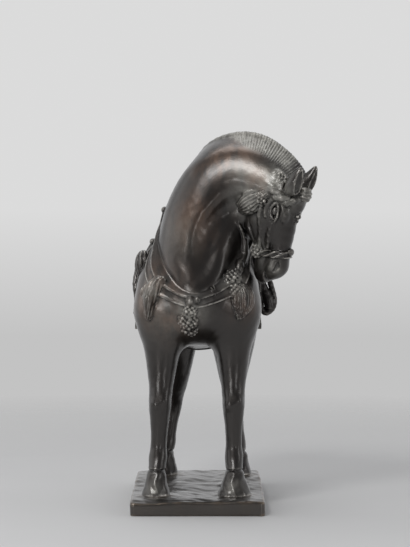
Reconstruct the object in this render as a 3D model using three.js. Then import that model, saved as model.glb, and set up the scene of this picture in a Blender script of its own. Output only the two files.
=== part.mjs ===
// Bronze horse figure: a stout standing horse with an arched neck and its head turned to its
// left, in a bridle, a breast collar hung with tassels, a saddle with its cloth, stirrups and a
// crupper, cast in one piece, on a rectangular ground plate with an uneven top.
// Millimetres. +Z is up, the horse faces -Y and +X is its left. The origin is the middle of the
// plate's underside.
//
// The horse is modelled like clay: limbs and muscles are rounded solids that flow into each
// other, straps are bands raised out of that surface, and the result is meshed on a grid and
// then thinned, so that flat stretches get large facets and small forms keep small ones.
import * as THREE from "three";
import { mergeVertices } from "three/addons/utils/BufferGeometryUtils.js";

const { smoothstep } = THREE.MathUtils;

// Driving dimensions
const PLATE = { width: 160, length: 300, thickness: 17.5, ripple: 1.1 };
const HOOF_GAP = 0.3;
const SOLE = PLATE.thickness + HOOF_GAP;
const BELLY = 187; // heights above the table
const BACK = 338;
const BODY_HALF_WIDTH = 72;
const HOOF_TOP = 48;
const GRID = 2.9; // meshing step
const HORSE_TRIANGLES = 8600;
const BRONZE = { color: 0x2e2925, roughness: 0.38, metalness: 0.85 };

// Fields: each is a function of x, y, z that gives the distance to a surface, negative inside.

function ellipsoid([cx, cy, cz], [rx, ry, rz]) {
  return (x, y, z) => {
    const px = (x - cx) / rx;
    const py = (y - cy) / ry;
    const pz = (z - cz) / rz;
    const k0 = Math.sqrt(px * px + py * py + pz * pz);
    const k1 = Math.sqrt((px / rx) ** 2 + (py / ry) ** 2 + (pz / rz) ** 2);
    return k1 < 1e-9 ? -Math.min(rx, ry, rz) : (k0 * (k0 - 1)) / k1;
  };
}

// A bar with round ends of different radii
function taper([ax, ay, az], [bx, by, bz], ra, rb) {
  const dx = bx - ax;
  const dy = by - ay;
  const dz = bz - az;
  const l2 = dx * dx + dy * dy + dz * dz;
  const rr = ra - rb;
  const a2 = l2 - rr * rr;
  return (x, y, z) => {
    const px = x - ax;
    const py = y - ay;
    const pz = z - az;
    const t = px * dx + py * dy + pz * dz;
    const u = t - l2;
    const qx = px * l2 - dx * t;
    const qy = py * l2 - dy * t;
    const qz = pz * l2 - dz * t;
    const x2 = qx * qx + qy * qy + qz * qz;
    const k = Math.sign(rr) * rr * rr * x2;
    if (Math.sign(u) * a2 * u * u * l2 > k) return Math.sqrt(x2 + u * u * l2) / l2 - rb;
    if (Math.sign(t) * a2 * t * t * l2 < k) return Math.sqrt(x2 + t * t * l2) / l2 - ra;
    return (Math.sqrt(x2 * a2 / l2) + t * rr) / l2 - ra;
  };
}

function blend(a, b, k) {
  const h = Math.max(k - Math.abs(a - b), 0) / k;
  return Math.min(a, b) - h * h * k * 0.25;
}

function join(k, ...fields) {
  return (x, y, z) => {
    let d = fields[0](x, y, z);
    for (let i = 1; i < fields.length; i++) d = blend(d, fields[i](x, y, z), k);
    return d;
  };
}

const carve = (k, base, tool) => (x, y, z) => -blend(-base(x, y, z), tool(x, y, z), k);

// Skips the work far from a form: its distance there is that to a box round it
const FAR = 22;

function boxed(low, high, field) {
  return (x, y, z) => {
    const ax = Math.max(low[0] - x, x - high[0], 0);
    const ay = Math.max(low[1] - y, y - high[1], 0);
    const az = Math.max(low[2] - z, z - high[2], 0);
    const away = ax * ax + ay * ay + az * az;
    return away > FAR * FAR ? Math.sqrt(away) : field(x, y, z);
  };
}

// Tapered bars through stations [x, y, z, radius], with more stations between them on a curve
function limb(stations, k = 3, splits = 1) {
  let chain = stations;
  if (splits > 1) {
    const curve = new THREE.CatmullRomCurve3(stations.map(([x, y, z]) => new THREE.Vector3(x, y, z)));
    const radii = new THREE.CatmullRomCurve3(stations.map(([, , , r]) => new THREE.Vector3(r, 0, 0)));
    const count = (stations.length - 1) * splits;
    chain = curve.getPoints(count).map((p, i) => [p.x, p.y, p.z, radii.getPoint(i / count).x]);
  }
  const bars = chain.slice(1).map((b, i) => {
    const a = chain[i];
    return taper(a.slice(0, 3), b.slice(0, 3), a[3], b[3]);
  });
  const side = (sign) => [0, 1, 2].map((axis) =>
    sign * Math.max(...chain.map((c) => sign * c[axis] + c[3])));
  return boxed(side(-1), side(1), join(k, ...bars));
}

// What lies within halfWidth of a plane, standing height above the base field
function band(base, point, normal, halfWidth, height, within = () => -1e3) {
  const n = new THREE.Vector3(...normal).normalize();
  const offset = n.dot(new THREE.Vector3(...point));
  return (x, y, z) => {
    const side = Math.abs(n.x * x + n.y * y + n.z * z - offset) - halfWidth;
    return Math.max(base(x, y, z) - height, side, within(x, y, z));
  };
}

// Runs ridges along a form, round the line from a to b
function fluted(inner, a, b, count, depth, twist = 0) {
  const start = new THREE.Vector3(...a);
  const axis = new THREE.Vector3(...b).sub(start).normalize();
  const side = new THREE.Vector3(0.3, 0.5, 0.81).cross(axis).normalize();
  const other = new THREE.Vector3().crossVectors(axis, side);
  const p = new THREE.Vector3();
  return (x, y, z) => {
    const d = inner(x, y, z);
    if (d > FAR / 2) return d;
    p.set(x, y, z).sub(start);
    return d - depth * Math.cos(count * Math.atan2(p.dot(other), p.dot(side)) + twist * p.dot(axis));
  };
}

// Moves a field from its own u, v, w axes to the figure's
function placed(field, origin, u, v, w) {
  return (x, y, z) => {
    const [px, py, pz] = [x - origin.x, y - origin.y, z - origin.z];
    return field(
      px * u.x + py * u.y + pz * u.z,
      px * v.x + py * v.y + pz * v.z,
      px * w.x + py * w.y + pz * w.z,
    );
  };
}

// The trunk: barrel, chest, haunches and withers

function trunk() {
  const depth = BACK - BELLY;
  const mid = BELLY + depth / 2;
  const both = (x, y, z, radii) => [-x, x].map((sx) => ellipsoid([sx, y, z], radii));
  return join(
    28,
    ellipsoid([1, 18, mid], [BODY_HALF_WIDTH, 112, depth / 2]),
    ellipsoid([0, -62, mid + 2], [58, 46, 62]),
    ellipsoid([-3, -82, mid - 8], [36, 38, 46]),
    ellipsoid([4, 94, mid + 10], [66, 68, 71]),
    ellipsoid([0, -30, BACK - 14], [30, 52, 36]),
    ...both(43, -66, mid - 16, [30, 37, 54]),
  );
}

function foreleg(side, footX) {
  const hipX = side * 43;
  const x = (share) => hipX + (footX - hipX) * share;
  const leg = limb([
    [side * 44, -76, 238, 31],
    [x(0), -75, 204, 23],
    [x(0.05), -77, 172, 17.5],
    [x(0.2), -81, 146, 13.8],
    [x(0.35), -84, 126, 13],
    [x(0.42), -83, 110, 11.2],
    [x(0.5), -82, 92, 9.6],
    [x(0.6), -81, 76, 9.2],
    [x(0.7), -82, 62, 10.6],
    [x(0.85), -88, 50, 9.8],
    [x(1), -92, 42, 10.4],
  ], 1.5, 3);
  const tendon = limb([
    [x(0.35), -75, 128, 8],
    [x(0.5), -74, 92, 5.4],
    [x(0.65), -72, 64, 7],
    [x(0.7), -75, 57, 5],
  ], 2, 2);
  const forearm = taper([x(0), -66, 208], [x(0.2), -75, 150], 20, 10);
  return hoofed(join(7, leg, tendon, forearm), x(1), -94, 1.5 + side * 1.5);
}

// The hind legs stand closer together at the thigh than at the foot
function hindleg(hipX, footX) {
  const x = (z) => hipX + (footX - hipX) * Math.max(0, (150 - z) / 109) ** 1.2;
  const leg = limb([
    [0, 86, 232, 34],
    [0, 80, 200, 29],
    [0, 88, 172, 23],
    [0, 103, 144, 17],
    [0, 120, 118, 12.6],
    [0, 124, 102, 11.6],
    [0, 122, 86, 9.6],
    [0, 120, 72, 9.4],
    [0, 119, 58, 10.6],
    [0, 113, 48, 9.8],
    [0, 109, 41, 10.6],
  ].map(([, y, z, r]) => [x(z), y, z, r]), 1.5, 3);
  const hockPoint = limb([
    [0, 112, 156, 7],
    [0, 132, 122, 6.5],
    [0, 131, 104, 6.5],
    [0, 128, 74, 5.2],
    [0, 128, 56, 6],
  ].map(([, y, z, r]) => [x(z), y, z, r]), 2, 2);
  const thigh = ellipsoid([hipX * 1.05, 98, 250], [32, 52, 60]);
  return hoofed(join(8, leg, hockPoint, thigh), footX, 108, 0);
}

// A hoof flares to the ground, longest at the toe, and is cut flat at the sole. A crease marks its
// top.
function hoofed(leg, x, y, spread) {
  const cone = join(
    4,
    taper([x, y + 1, HOOF_TOP - 9], [x, y - 3, SOLE - 2], 11.8, 17.5 + spread),
    taper([x, y + 6, HOOF_TOP - 12], [x, y + 7, SOLE - 2], 10, 13.5),
  );
  const both = join(2.2, leg, cone);
  const crease = { depth: 0.8, width: 2 };
  return (px, py, pz) => {
    const cut = crease.depth * Math.exp(-(((pz - HOOF_TOP) / crease.width) ** 2));
    return Math.max(both(px, py, pz) + cut, SOLE - pz);
  };
}

// Neck: rises from the chest, arches over and comes down to the poll on the left side
const NECK = [
  [0, -64, 270, 48],
  [0, -66, 300, 48],
  [1, -67, 330, 46],
  [8, -66, 362, 43],
  [25, -68, 392, 40],
  [52, -78, 405, 34.5],
  [79, -92, 397, 29],
  [101, -103, 382, 24],
  [112, -110, 370, 17],
];
// The underside of the bend, and the round ridge of the windpipe
const THROAT = [
  [20, -50, 290, 38],
  [28, -54, 325, 37],
  [42, -60, 356, 31],
  [64, -78, 376, 26],
];
const WINDPIPE = [
  [28, -57, 286, 29],
  [34, -63, 312, 24.5],
  [38, -68, 331, 19],
];
// The valley between the crest's muscle and the windpipe: x, z, radius and how far it is sunk
const VALLEY = [
  [52, 364, 8, 2],
  [38, 358, 11, 5.5],
  [25, 345, 14, 8],
  [16, 328, 17, 6],
  [11, 308, 18, 1.5],
  [8, 290, 18, -4],
];
// The rails of the mane: how far up, radius, and how far to the near side
const MANE = {
  start: 0.3, height: 19, sunk: 8, edge: 4, locks: 30, lines: 60, depth: 0.6, pivot: [51, 366],
  rails: [[-0.12, 10, 10], [0, 11.5, 0], [0.25, 9, 5], [0.3, 9.5, 0], [0.65, 6.8, 0], [1, 4, 0]],
};

function furrow(base) {
  return limb(VALLEY.map(([x, z, radius, sunk]) => {
    const p = reach(base, [x, -170, z], [0, 1, 0]);
    return [p.x, p.y - radius + sunk, p.z, radius];
  }), 3, 2);
}

// The hogged mane stands on the crest of the neck as a blade, highest in the middle, cut into locks
function mane() {
  const line = new THREE.CatmullRomCurve3(NECK.map(([x, y, z]) => new THREE.Vector3(x, y, z)));
  const radiusAt = (t) => {
    const n = t * (NECK.length - 1);
    const i = Math.min(Math.floor(n), NECK.length - 2);
    return NECK[i][3] + (NECK[i + 1][3] - NECK[i][3]) * (n - i);
  };
  const rails = MANE.rails.map(() => []);
  for (let n = 0; n <= MANE.locks; n++) {
    const share = n / MANE.locks;
    const t = MANE.start + (1 - MANE.start) * share;
    const centre = line.getPoint(t);
    const along = line.getTangent(t);
    const lean = smoothstep(share, 0, 0.4);
    const out = new THREE.Vector3(0, 1 - 0.68 * lean, 0.1 + 0.9 * lean);
    out.addScaledVector(along, -out.dot(along)).normalize();
    const near = new THREE.Vector3().crossVectors(along, out).multiplyScalar(smoothstep(share, 0.2, 0.5));
    const height = MANE.height * Math.sin(Math.PI * (0.05 + 0.87 * share)) ** 0.8;
    const root = centre.clone().addScaledVector(out, radiusAt(t) - MANE.sunk);
    const top = centre.clone().addScaledVector(out, radiusAt(t) + height - MANE.edge);
    MANE.rails.forEach(([level, radius, aside], i) => {
      const p = root.clone().lerp(top, level).addScaledVector(near, aside);
      rails[i].push([...p.toArray(), radius]);
    });
  }
  const blade = join(6, ...rails.map((rail) => limb(rail, 1)));
  const [pivotX, pivotZ] = MANE.pivot;
  return (x, y, z) => {
    const turn = Math.atan2(x - pivotX, z - pivotZ);
    return blade(x, y, z) - MANE.depth * smoothstep(x, 38, 56) * Math.cos(MANE.lines * turn);
  };
}

// The mane grows smoothly out of the back of the neck and stands clear of it further up
function maned(base) {
  const hair = boxed([-30, -125, 330], [145, 10, 470], mane());
  return (x, y, z) => blend(base(x, y, z), hair(x, y, z), 3 + 16 * (1 - smoothstep(x, 10, 60)));
}

// Head, in its own axes: u from the poll to the muzzle, v out of the face, w to its left
const HEAD = { turn: 57, tuck: 14, roll: 4, poll: [108, -112, 388] };

function headAxes() {
  const [turn, tuck, roll] = [HEAD.turn, HEAD.tuck, HEAD.roll].map(THREE.MathUtils.degToRad);
  const facing = new THREE.Vector3(Math.sin(turn), -Math.cos(turn), 0);
  const up = new THREE.Vector3(0, 0, 1);
  const v = facing.clone().multiplyScalar(Math.cos(tuck)).addScaledVector(up, -Math.sin(tuck));
  const u = facing.clone().multiplyScalar(-Math.sin(tuck)).addScaledVector(up, -Math.cos(tuck));
  const w = new THREE.Vector3().crossVectors(v, u);
  u.applyAxisAngle(v, roll);
  w.applyAxisAngle(v, roll);
  return { origin: new THREE.Vector3(...HEAD.poll), u, v, w };
}

const pair = (make) => [make(-1), make(1)];

function skull() {
  return join(
    9,
    ellipsoid([22, -8, 0], [29, 25, 20]),
    limb([[30, 3, 0, 14], [50, 5.2, 0, 13], [72, 4.6, 0, 12.2], [96, 5, 0, 11]], 2, 2),
    ellipsoid([95, 3, 0], [13, 13, 14]),
    ellipsoid([104, -2, 0], [9.5, 10, 11]),
    ellipsoid([110.5, -12, 0], [11, 9.5, 9.5]),
    limb([[56, -27, 0, 13], [84, -15, 0, 11], [104, -14.5, 0, 10.5]]),
    ...pair((s) => ellipsoid([42, -20, s * 8], [32, 28, 12])),
  );
}

// Brows, nostril rims, cheek bones, ears and the knob over the forehead, then what is cut in
function head() {
  const features = join(
    2.5,
    skull(),
    ...pair((s) => ellipsoid([30, 9.5, s * 13], [12, 6.5, 6.5])),
    ...pair((s) => limb([[90, 5, s * 11.5, 3], [96, 4.5, s * 12.5, 4], [101, 0, s * 11.5, 3]], 2, 2)),
    ...pair((s) => limb([[46, -4, s * 16, 4], [72, -6, s * 12.5, 2.5]])),
    ...pair(ear),
    ellipsoid([3, 25, 0], [9, 8.2, 8.2]),
  );
  const nostrils = pair((s) => limb([[89, 11, s * 12, 1.5], [94, 12, s * 13, 3], [100, 8.5, s * 14, 2]]));
  const lips = ellipsoid([111, -3.5, 0], [8.5, 1.8, 17]);
  const jawCreases = pair((s) => limb([[38, -40, s * 22, 2.4], [56, -33, s * 18.5, 2.8], [74, -24, s * 15, 2]]));
  const sockets = pair((s) => ellipsoid([28, -0.5, s * 22.5], [12, 8, 6.4]));
  const carved = carve(1.5, features, join(1, lips, ...nostrils, ...jawCreases, ...sockets));
  return join(1, carved, ...pair(eye));
}

// A large almond eye with heavy lids, and a fold over it
function eye(side) {
  const fold = (points, radius) => limb(points.map(([u, v]) => [u, v, side * 20.4, radius]), 1.5, 2);
  return join(
    0.8,
    ellipsoid([28.5, -1, side * 16.8], [7, 4.2, 5.6]),
    fold([[38, -1], [34, -4.6], [28, -6.6], [22, -5], [17, 0]], 2),
    fold([[17, 0], [22, 3.4], [27, 4.2], [34, 4.4], [40, 0]], 1.8),
    fold([[37, -12], [30, -13.2], [23, -12], [15.5, -7], [12, -1]], 2.4),
  );
}

// A pricked ear, hollowed towards the front
function ear(side) {
  const outer = limb([
    [-3, 14, side * 14, 9.4], [-11, 17.5, side * 16, 9], [-20, 20.5, side * 17, 5.8], [-29, 22.5, side * 17, 1.9],
  ], 2, 2);
  const hollow = limb([
    [-3, 24, side * 15, 5.6], [-11, 26, side * 17, 6.4], [-19, 25.8, side * 18, 4.2], [-25, 25.4, side * 18, 1.5],
  ], 2, 2);
  return carve(1, outer, hollow);
}

// Points round the head, [u, degrees from the front], standing off its surface
function around(base, places, stand) {
  return places.map(([u, degrees]) => {
    const turn = THREE.MathUtils.degToRad(degrees);
    const outward = new THREE.Vector3(0, Math.cos(turn), Math.sin(turn));
    const start = new THREE.Vector3(u, -2, 0).addScaledVector(outward, 60);
    const p = reach(base, start.toArray(), outward.clone().negate().toArray());
    return p.addScaledVector(outward, stand).toArray();
  });
}

// The big ornament on the cheek: a ribbed shell behind two clusters
function cheekOrnament(side) {
  const body = limb([
    [9, -15, side * 20, 5.5], [17, -25, side * 19.5, 9], [25, -36, side * 19, 11.5], [32, -43, side * 18, 8.5],
  ], 4, 2);
  const lobe = ellipsoid([14.5, -37, side * 24], [7, 10, 6.5]);
  const scallops = [[23.7, -48, 21], [30, -48.5, 21], [35.4, -43.5, 21.5], [35.7, -35.5, 22.5], [31, -28, 23]]
    .map(([u, v, w]) => ellipsoid([u, v, side * w], [4.6, 4.8, 4.4]));
  const shell = fluted(join(2, body, lobe, ...scallops), [36, -46, side * 20], [10, -16, side * 20], 9, 0.7);
  const clusters = [
    ellipsoid([17.5, -21.5, side * 22], [9.5, 9, 7]),
    ellipsoid([26.5, -34, side * 24], [8.5, 10, 6]),
  ];
  return join(1.5, shell, ...clusters);
}

function bridledHead() {
  const bare = head();
  const noseband = band(bare, [81, 0, 0], [1, 0.13, 0], 4.6, 3.2);
  const headpiece = band(bare, [8, -18, 0], [1, 0.55, 0], 4, 3, (u, v) => v - 4);
  const places = [[1, 132], [6, 106], [10.5, 75], [13, 48], [11.5, 22], [7, 4]];
  const browband = pair((s) => {
    const [stand, radius] = s < 0 ? [3.4, 5.6] : [2.2, 4.6];
    const path = around(skull(), places.map(([u, degrees]) => [u, s * degrees]), stand);
    return fluted(limb(path.map((p) => [...p, radius]), 2, 2), path[0], path[5], 5, 0.7, 0.35);
  });
  const cheekpieces = pair((s) => limb([
    [24, -19, s * 21, 3], [38, -20.5, s * 20, 2.8], [57, -17, s * 16.5, 2.8], [76, -17, s * 13.5, 3],
  ], 3, 2));
  const rosettes = pair((s) => ellipsoid([82, -20, s * 12.5], [9, 6.5, 5.5]));
  const noseKnob = ellipsoid([75.5, 19, 0], [4.8, 4, 5.5]);
  const pollCurls = pair((s) => ellipsoid([-6, -8, s * 11], [14, 14, 5.5]));
  return join(
    1.5, bare, noseband, headpiece, ...browband, ...cheekpieces, ...rosettes, noseKnob, ...pollCurls,
    ...pair(cheekOrnament),
  );
}

// Harness on the body

// The breast collar lies in a sloping plane round the root of the neck
const COLLAR = { point: [0, -125, 252], normal: [0, -0.768, 0.64], halfWidth: 4.8, height: 2.6 };
// The breeching lies in a plane that slopes down round the haunches
const BREECHING = { point: [0, 78, 336], normal: [0, 0.5, 0.87], halfWidth: 4, height: 2.4 };
const SADDLE = { middle: 26, clothHalf: 50, clothBottom: 215, clothHeight: 3.6, flare: 0.07 };

// Steps from a point until it meets a surface
function reach(field, point, direction) {
  const p = new THREE.Vector3(...point);
  const d = new THREE.Vector3(...direction).normalize();
  for (let n = 0; n < 60; n++) p.addScaledVector(d, 0.8 * field(p.x, p.y, p.z));
  return p;
}

// Stations [x or y, z, radius, stand] seen from outside, laid on the surface: a ball of that radius
// at each, sunk until it stands that far out
function laid(base, stations, outward) {
  return stations.map(([a, z, radius, stand]) => {
    const start = outward[1] ? [a, -170, z] : [outward[0] * 120, a, z];
    const p = reach(base, start, outward.map((c) => -c)).toArray();
    return [...p.map((c, axis) => c + outward[axis] * (stand - radius)), radius];
  });
}

const FRONT = [0, -1, 0];

// A ribbed tassel that lies on the surface
function tassel(base, stations, outward, ribs) {
  const chain = laid(base, stations, outward);
  const end = chain[chain.length - 1];
  return fluted(limb(chain, 4, 2), chain[0].slice(0, 3), end.slice(0, 3), ribs, 0.7, 0.05);
}

// A knot or a cluster, with the radii of its ellipsoid
function knot(base, station, outward, radii) {
  return ellipsoid(laid(base, [station], outward)[0].slice(0, 3), radii);
}

function tassels(base) {
  const forms = [
    tassel(base, [
      [-44, 276, 5, 7], [-51, 269, 8.5, 11], [-56, 260, 8, 11], [-58.5, 250, 5.8, 9], [-58.5, 241, 4.6, 7],
      [-58.5, 232, 3.4, 5],
    ], FRONT, 8),
    knot(base, [-43, 276.5, 5.5, 8.5], FRONT, [5.5, 5.5, 5.5]),
    knot(base, [-60.5, 262, 5, 13], FRONT, [6, 5, 6.4]),
    knot(base, [-8.3, 252.8, 6.4, 9.5], FRONT, [6.4, 6.4, 6.4]),
    knot(base, [-8.5, 242, 6, 8], FRONT, [7, 6, 8]),
    knot(base, [-11, 229, 8, 9], FRONT, [11.5, 7, 10]),
    knot(base, [-9, 218, 6, 7], FRONT, [9, 5, 7]),
    tassel(base, [[49, 264, 9, 9], [53, 255, 14.5, 10], [52.5, 246, 10, 8], [50, 234, 4, 5]], FRONT, 11),
    knot(base, [42, 279.5, 8, 9], FRONT, [10, 7, 10]),
    knot(base, [45.5, 266, 6, 11], FRONT, [5.5, 5, 7]),
  ];
  for (const side of [-1, 1]) {
    const outward = [side, 0, 0];
    forms.push(knot(base, [-48, 293.5, 10.5, 12.5], outward, [10.5, 14, 18.5]));
    for (const [y, top] of [[92, 306], [132, 290]]) {
      const stations = [[0, 7, 5], [9, 10, 8], [20, 11, 8.5], [32, 6, 4.5]]
        .map(([drop, radius, stand]) => [y, top - drop, radius, stand]);
      forms.push(tassel(base, stations, outward, 8));
      forms.push(knot(base, [y, top + 3, 5, 4], outward, [5, 6.5, 6]));
    }
  }
  return forms;
}

// The rein comes down the neck as a flat strap that ends in a bell
function rein(base) {
  const strap = laid(base, [[57, 324, 4, 5], [57, 308, 4.2, 5], [54, 300, 4, 5]], FRONT);
  const bell = laid(base, [[50.5, 297, 4.6, 6], [50, 291, 5.6, 6]], FRONT);
  return [limb(strap, 1, 2), limb(bell, 1, 2)];
}

// Under its widest line the cloth hangs down more steeply than the barrel
function saddle(barrel) {
  const { middle, clothHalf, clothBottom, clothHeight, flare } = SADDLE;
  const widest = 262;
  const hang = (x, y, z) => {
    const below = Math.max(0, widest - z);
    return barrel(x, y, z + below * 0.7) - clothHeight - below * flare;
  };
  const cloth = (x, y, z) => Math.max(hang(x, y, z), Math.abs(y - middle) - clothHalf, clothBottom - z);
  const rim = (x, y, z) => {
    const edge = Math.max(Math.abs(y - middle) - clothHalf, clothBottom - z);
    return Math.max(hang(x, y, z) - 1.6, edge - 1, -edge - 4);
  };
  const flap = (x, y, z) => Math.max(barrel(x, y, z) - clothHeight - 3, Math.abs(y - middle) - 27, 258 - z);
  const arch = (y, lean, top, half) => limb([-1, -0.72, 0, 0.72, 1].map((side) => {
    const rise = 1 - side * side;
    return [side * half, y + lean * rise, top - 30 + 30 * rise ** 0.6, 6.5];
  }), 6);
  const seat = ellipsoid([0, middle, 340], [40, 38, 19]);
  return [cloth, rim, flap, join(8, seat, arch(-8, -3, 356, 42), arch(60, 6, 360, 44))];
}

// Stirrups: the left one hangs turned out, the right one lies flat on the cloth
function stirrups(base) {
  const lying = (y, z) => reach(base, [-120, y, z], [1, 0, 0]).toArray();
  const loop = (points, radius) => {
    const curve = new THREE.CatmullRomCurve3(points.map((p) => new THREE.Vector3(...p)), true);
    return limb(curve.getPoints(20).map((p) => [p.x, p.y, p.z, radius]), 1);
  };
  const outward = loop(
    [
      [82, 14, 287], [88, 14, 277], [93, 14, 262], [96, 14, 247], [93, 14, 237], [85, 14, 232], [79, 14, 240],
      [79, 14, 262],
    ],
    3.4,
  );
  const flat = loop(
    [[14, 290], [24, 270], [28, 250], [22, 234], [6, 234], [0, 250], [4, 270]].map(([y, z]) => {
      const [x, ...rest] = lying(y, z);
      return [x - 1.6, ...rest];
    }),
    3.2,
  );
  const tread = limb([[78, 14, 280, 4.5], [82, 14, 264, 5], [88, 14, 250, 6], [90, 14, 240, 6]], 2, 2);
  const leathers = [
    taper([76, 14, 318], [84, 14, 286], 3.6, 3.2),
    taper(lying(14, 320), lying(14, 288), 3.6, 3.4),
  ];
  return [outward, flat, tread, ...leathers];
}

function tail() {
  return limb([
    [4, 148, 320, 14],
    [4, 168, 323, 12],
    [5, 183, 306, 12.5],
    [6, 186, 280, 12],
    [6, 181, 257, 9],
    [6, 175, 240, 4.5],
  ], 3, 3);
}

// The neck ends in a rounded tongue that swells over the breast collar, in a soft hollow
const TONGUE = { x: -1, tip: 257, curve: 0.03 };

function tucked(base) {
  const normal = new THREE.Vector3(...COLLAR.normal).normalize();
  const offset = normal.dot(new THREE.Vector3(...COLLAR.point));
  return (x, y, z) => {
    const d = base(x, y, z);
    if (y > -20 || z < 240) return d;
    const aside = x - TONGUE.x;
    const above = (z - TONGUE.tip - TONGUE.curve * aside ** 2) / Math.hypot(1, 2 * TONGUE.curve * aside);
    const side = normal.y * y + normal.z * z - offset;
    const hollow = Math.exp(-(((above + 4.5) / 5) ** 2)) * smoothstep(side, 4.5, 7);
    const swell = Math.exp(-(((above - 12) / 11) ** 2));
    const front = smoothstep(-y, 20, 60) * (1 - smoothstep(z, 300, 335));
    return d + front * (3.4 * hollow - 2 * swell);
  };
}

function horseField() {
  const { origin, u, v, w } = headAxes();
  const legs = [foreleg(-1, -50), foreleg(1, 44.5), hindleg(-29, -43), hindleg(45, 52.5)];
  const barrel = trunk();
  const body = join(13, barrel, ...legs);
  const necked = join(16, body, join(13, limb(NECK, 3, 3), limb(THROAT, 4, 3)));
  const bare = tucked(join(8, carve(14, necked, furrow(necked)), limb(WINDPIPE, 3, 2)));
  const haired = join(5, maned(bare), tail());
  const collar = band(bare, COLLAR.point, COLLAR.normal, COLLAR.halfWidth, COLLAR.height,
    (x, y, z) => Math.max(y + 24, z - 366));
  const breeching = band(bare, BREECHING.point, BREECHING.normal, BREECHING.halfWidth, BREECHING.height,
    (x, y) => 60 - y);
  const fittings = [[-58, 361, 5.6], [-36, 322, 15]].map(([y, z, stand]) =>
    limb(laid(bare, [[y, z, 4, 2], [y, z, 4.2, stand]], [-1, 0, 0]), 1));
  const girth = band(bare, [0, 8, 0], [0, 1, 0], 5, 1.6, (x, y, z) => z - 230);
  const saddled = join(1.5, haired, ...saddle(barrel));
  const dressed = join(
    1.5, saddled, collar, breeching, girth, ...fittings, ...stirrups(saddled), ...tassels(bare), ...rein(bare),
  );
  const bridled = boxed([30, -165, 262], [155, -60, 420], placed(bridledHead(), origin, u, v, w));
  return join(3, dressed, bridled);
}

// Meshing

// Marching tetrahedra over the blocks of the grid that the surface may pass through
const CORNERS = [
  [0, 0, 0], [1, 0, 0], [1, 1, 0], [0, 1, 0],
  [0, 0, 1], [1, 0, 1], [1, 1, 1], [0, 1, 1],
];
const TETRAHEDRA = [
  [0, 5, 1, 6], [0, 1, 2, 6], [0, 2, 3, 6],
  [0, 3, 7, 6], [0, 7, 4, 6], [0, 4, 5, 6],
];
const BLOCK = 8; // cells along a block's side
const CLEAR = 0.08;

function surface(field, low, high, step) {
  const count = low.map((l, i) => Math.ceil((high[i] - l) / step / BLOCK) * BLOCK);
  const [sx, sy] = [count[0] + 1, (count[0] + 1) * (count[1] + 1)];
  const values = new Map();
  const edges = new Map();
  const points = [];
  const faces = [];
  const place = (i, j, k) => [low[0] + i * step, low[1] + j * step, low[2] + k * step];

  const valueAt = (i, j, k) => {
    const id = i + sx * j + sy * k;
    let d = values.get(id);
    if (d === undefined) {
      d = field(...place(i, j, k));
      if (Math.abs(d) < CLEAR) d = d < 0 ? -CLEAR : CLEAR; // keeps points off the grid's corners
      values.set(id, d);
    }
    return d;
  };
  const crossing = (a, b) => {
    const [ia, ib] = [a, b].map((c) => c.cell[0] + sx * c.cell[1] + sy * c.cell[2]);
    const key = ia < ib ? ia * 4e6 + ib : ib * 4e6 + ia;
    let n = edges.get(key);
    if (n === undefined) {
      const t = a.d / (a.d - b.d);
      const [pa, pb] = [place(...a.cell), place(...b.cell)];
      n = points.length;
      points.push(pa.map((v, axis) => v + (pb[axis] - v) * t));
      edges.set(key, n);
    }
    return n;
  };
  const cell = (i, j, k) => {
    const nodes = CORNERS.map(([a, b, c]) => ({
      cell: [i + a, j + b, k + c],
      d: valueAt(i + a, j + b, k + c),
    }));
    for (const tetrahedron of TETRAHEDRA) {
      const t = tetrahedron.map((n) => nodes[n]);
      const inside = t.filter((n) => n.d < 0);
      const outside = t.filter((n) => n.d >= 0);
      if (!inside.length || !outside.length) continue;
      const ring = inside.length === 2
        ? [[0, 0], [0, 1], [1, 1], [1, 0]].map(([a, b]) => crossing(inside[a], outside[b]))
        : inside.flatMap((a) => outside.map((b) => crossing(a, b)));
      const [p, q, r] = ring.map((n) => points[n]);
      const outward = new THREE.Vector3(...q).sub(new THREE.Vector3(...p))
        .cross(new THREE.Vector3(...r).sub(new THREE.Vector3(...p)));
      const centre = (list) => list.reduce((s, n) => s.add(new THREE.Vector3(...n.cell)),
        new THREE.Vector3()).divideScalar(list.length);
      if (outward.dot(centre(outside).sub(centre(inside))) < 0) ring.reverse();
      for (let n = 2; n < ring.length; n++) faces.push([ring[0], ring[n - 1], ring[n]]);
    }
  };
  const near = BLOCK * step * 1.3; // a bit more than from a block's middle to its corner
  for (let k = 0; k < count[2]; k += BLOCK)
    for (let j = 0; j < count[1]; j += BLOCK)
      for (let i = 0; i < count[0]; i += BLOCK) {
        const half = BLOCK / 2;
        if (Math.abs(field(...place(i + half, j + half, k + half))) > near) continue;
        for (let n = 0; n < BLOCK ** 3; n++)
          cell(i + (n % BLOCK), j + (Math.floor(n / BLOCK) % BLOCK), k + Math.floor(n / BLOCK ** 2));
      }
  return { points, faces };
}

// Thinning by edge collapse, cheapest first. A corner's cost is its squared distance from the
// planes of the faces that it stands for.

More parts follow.
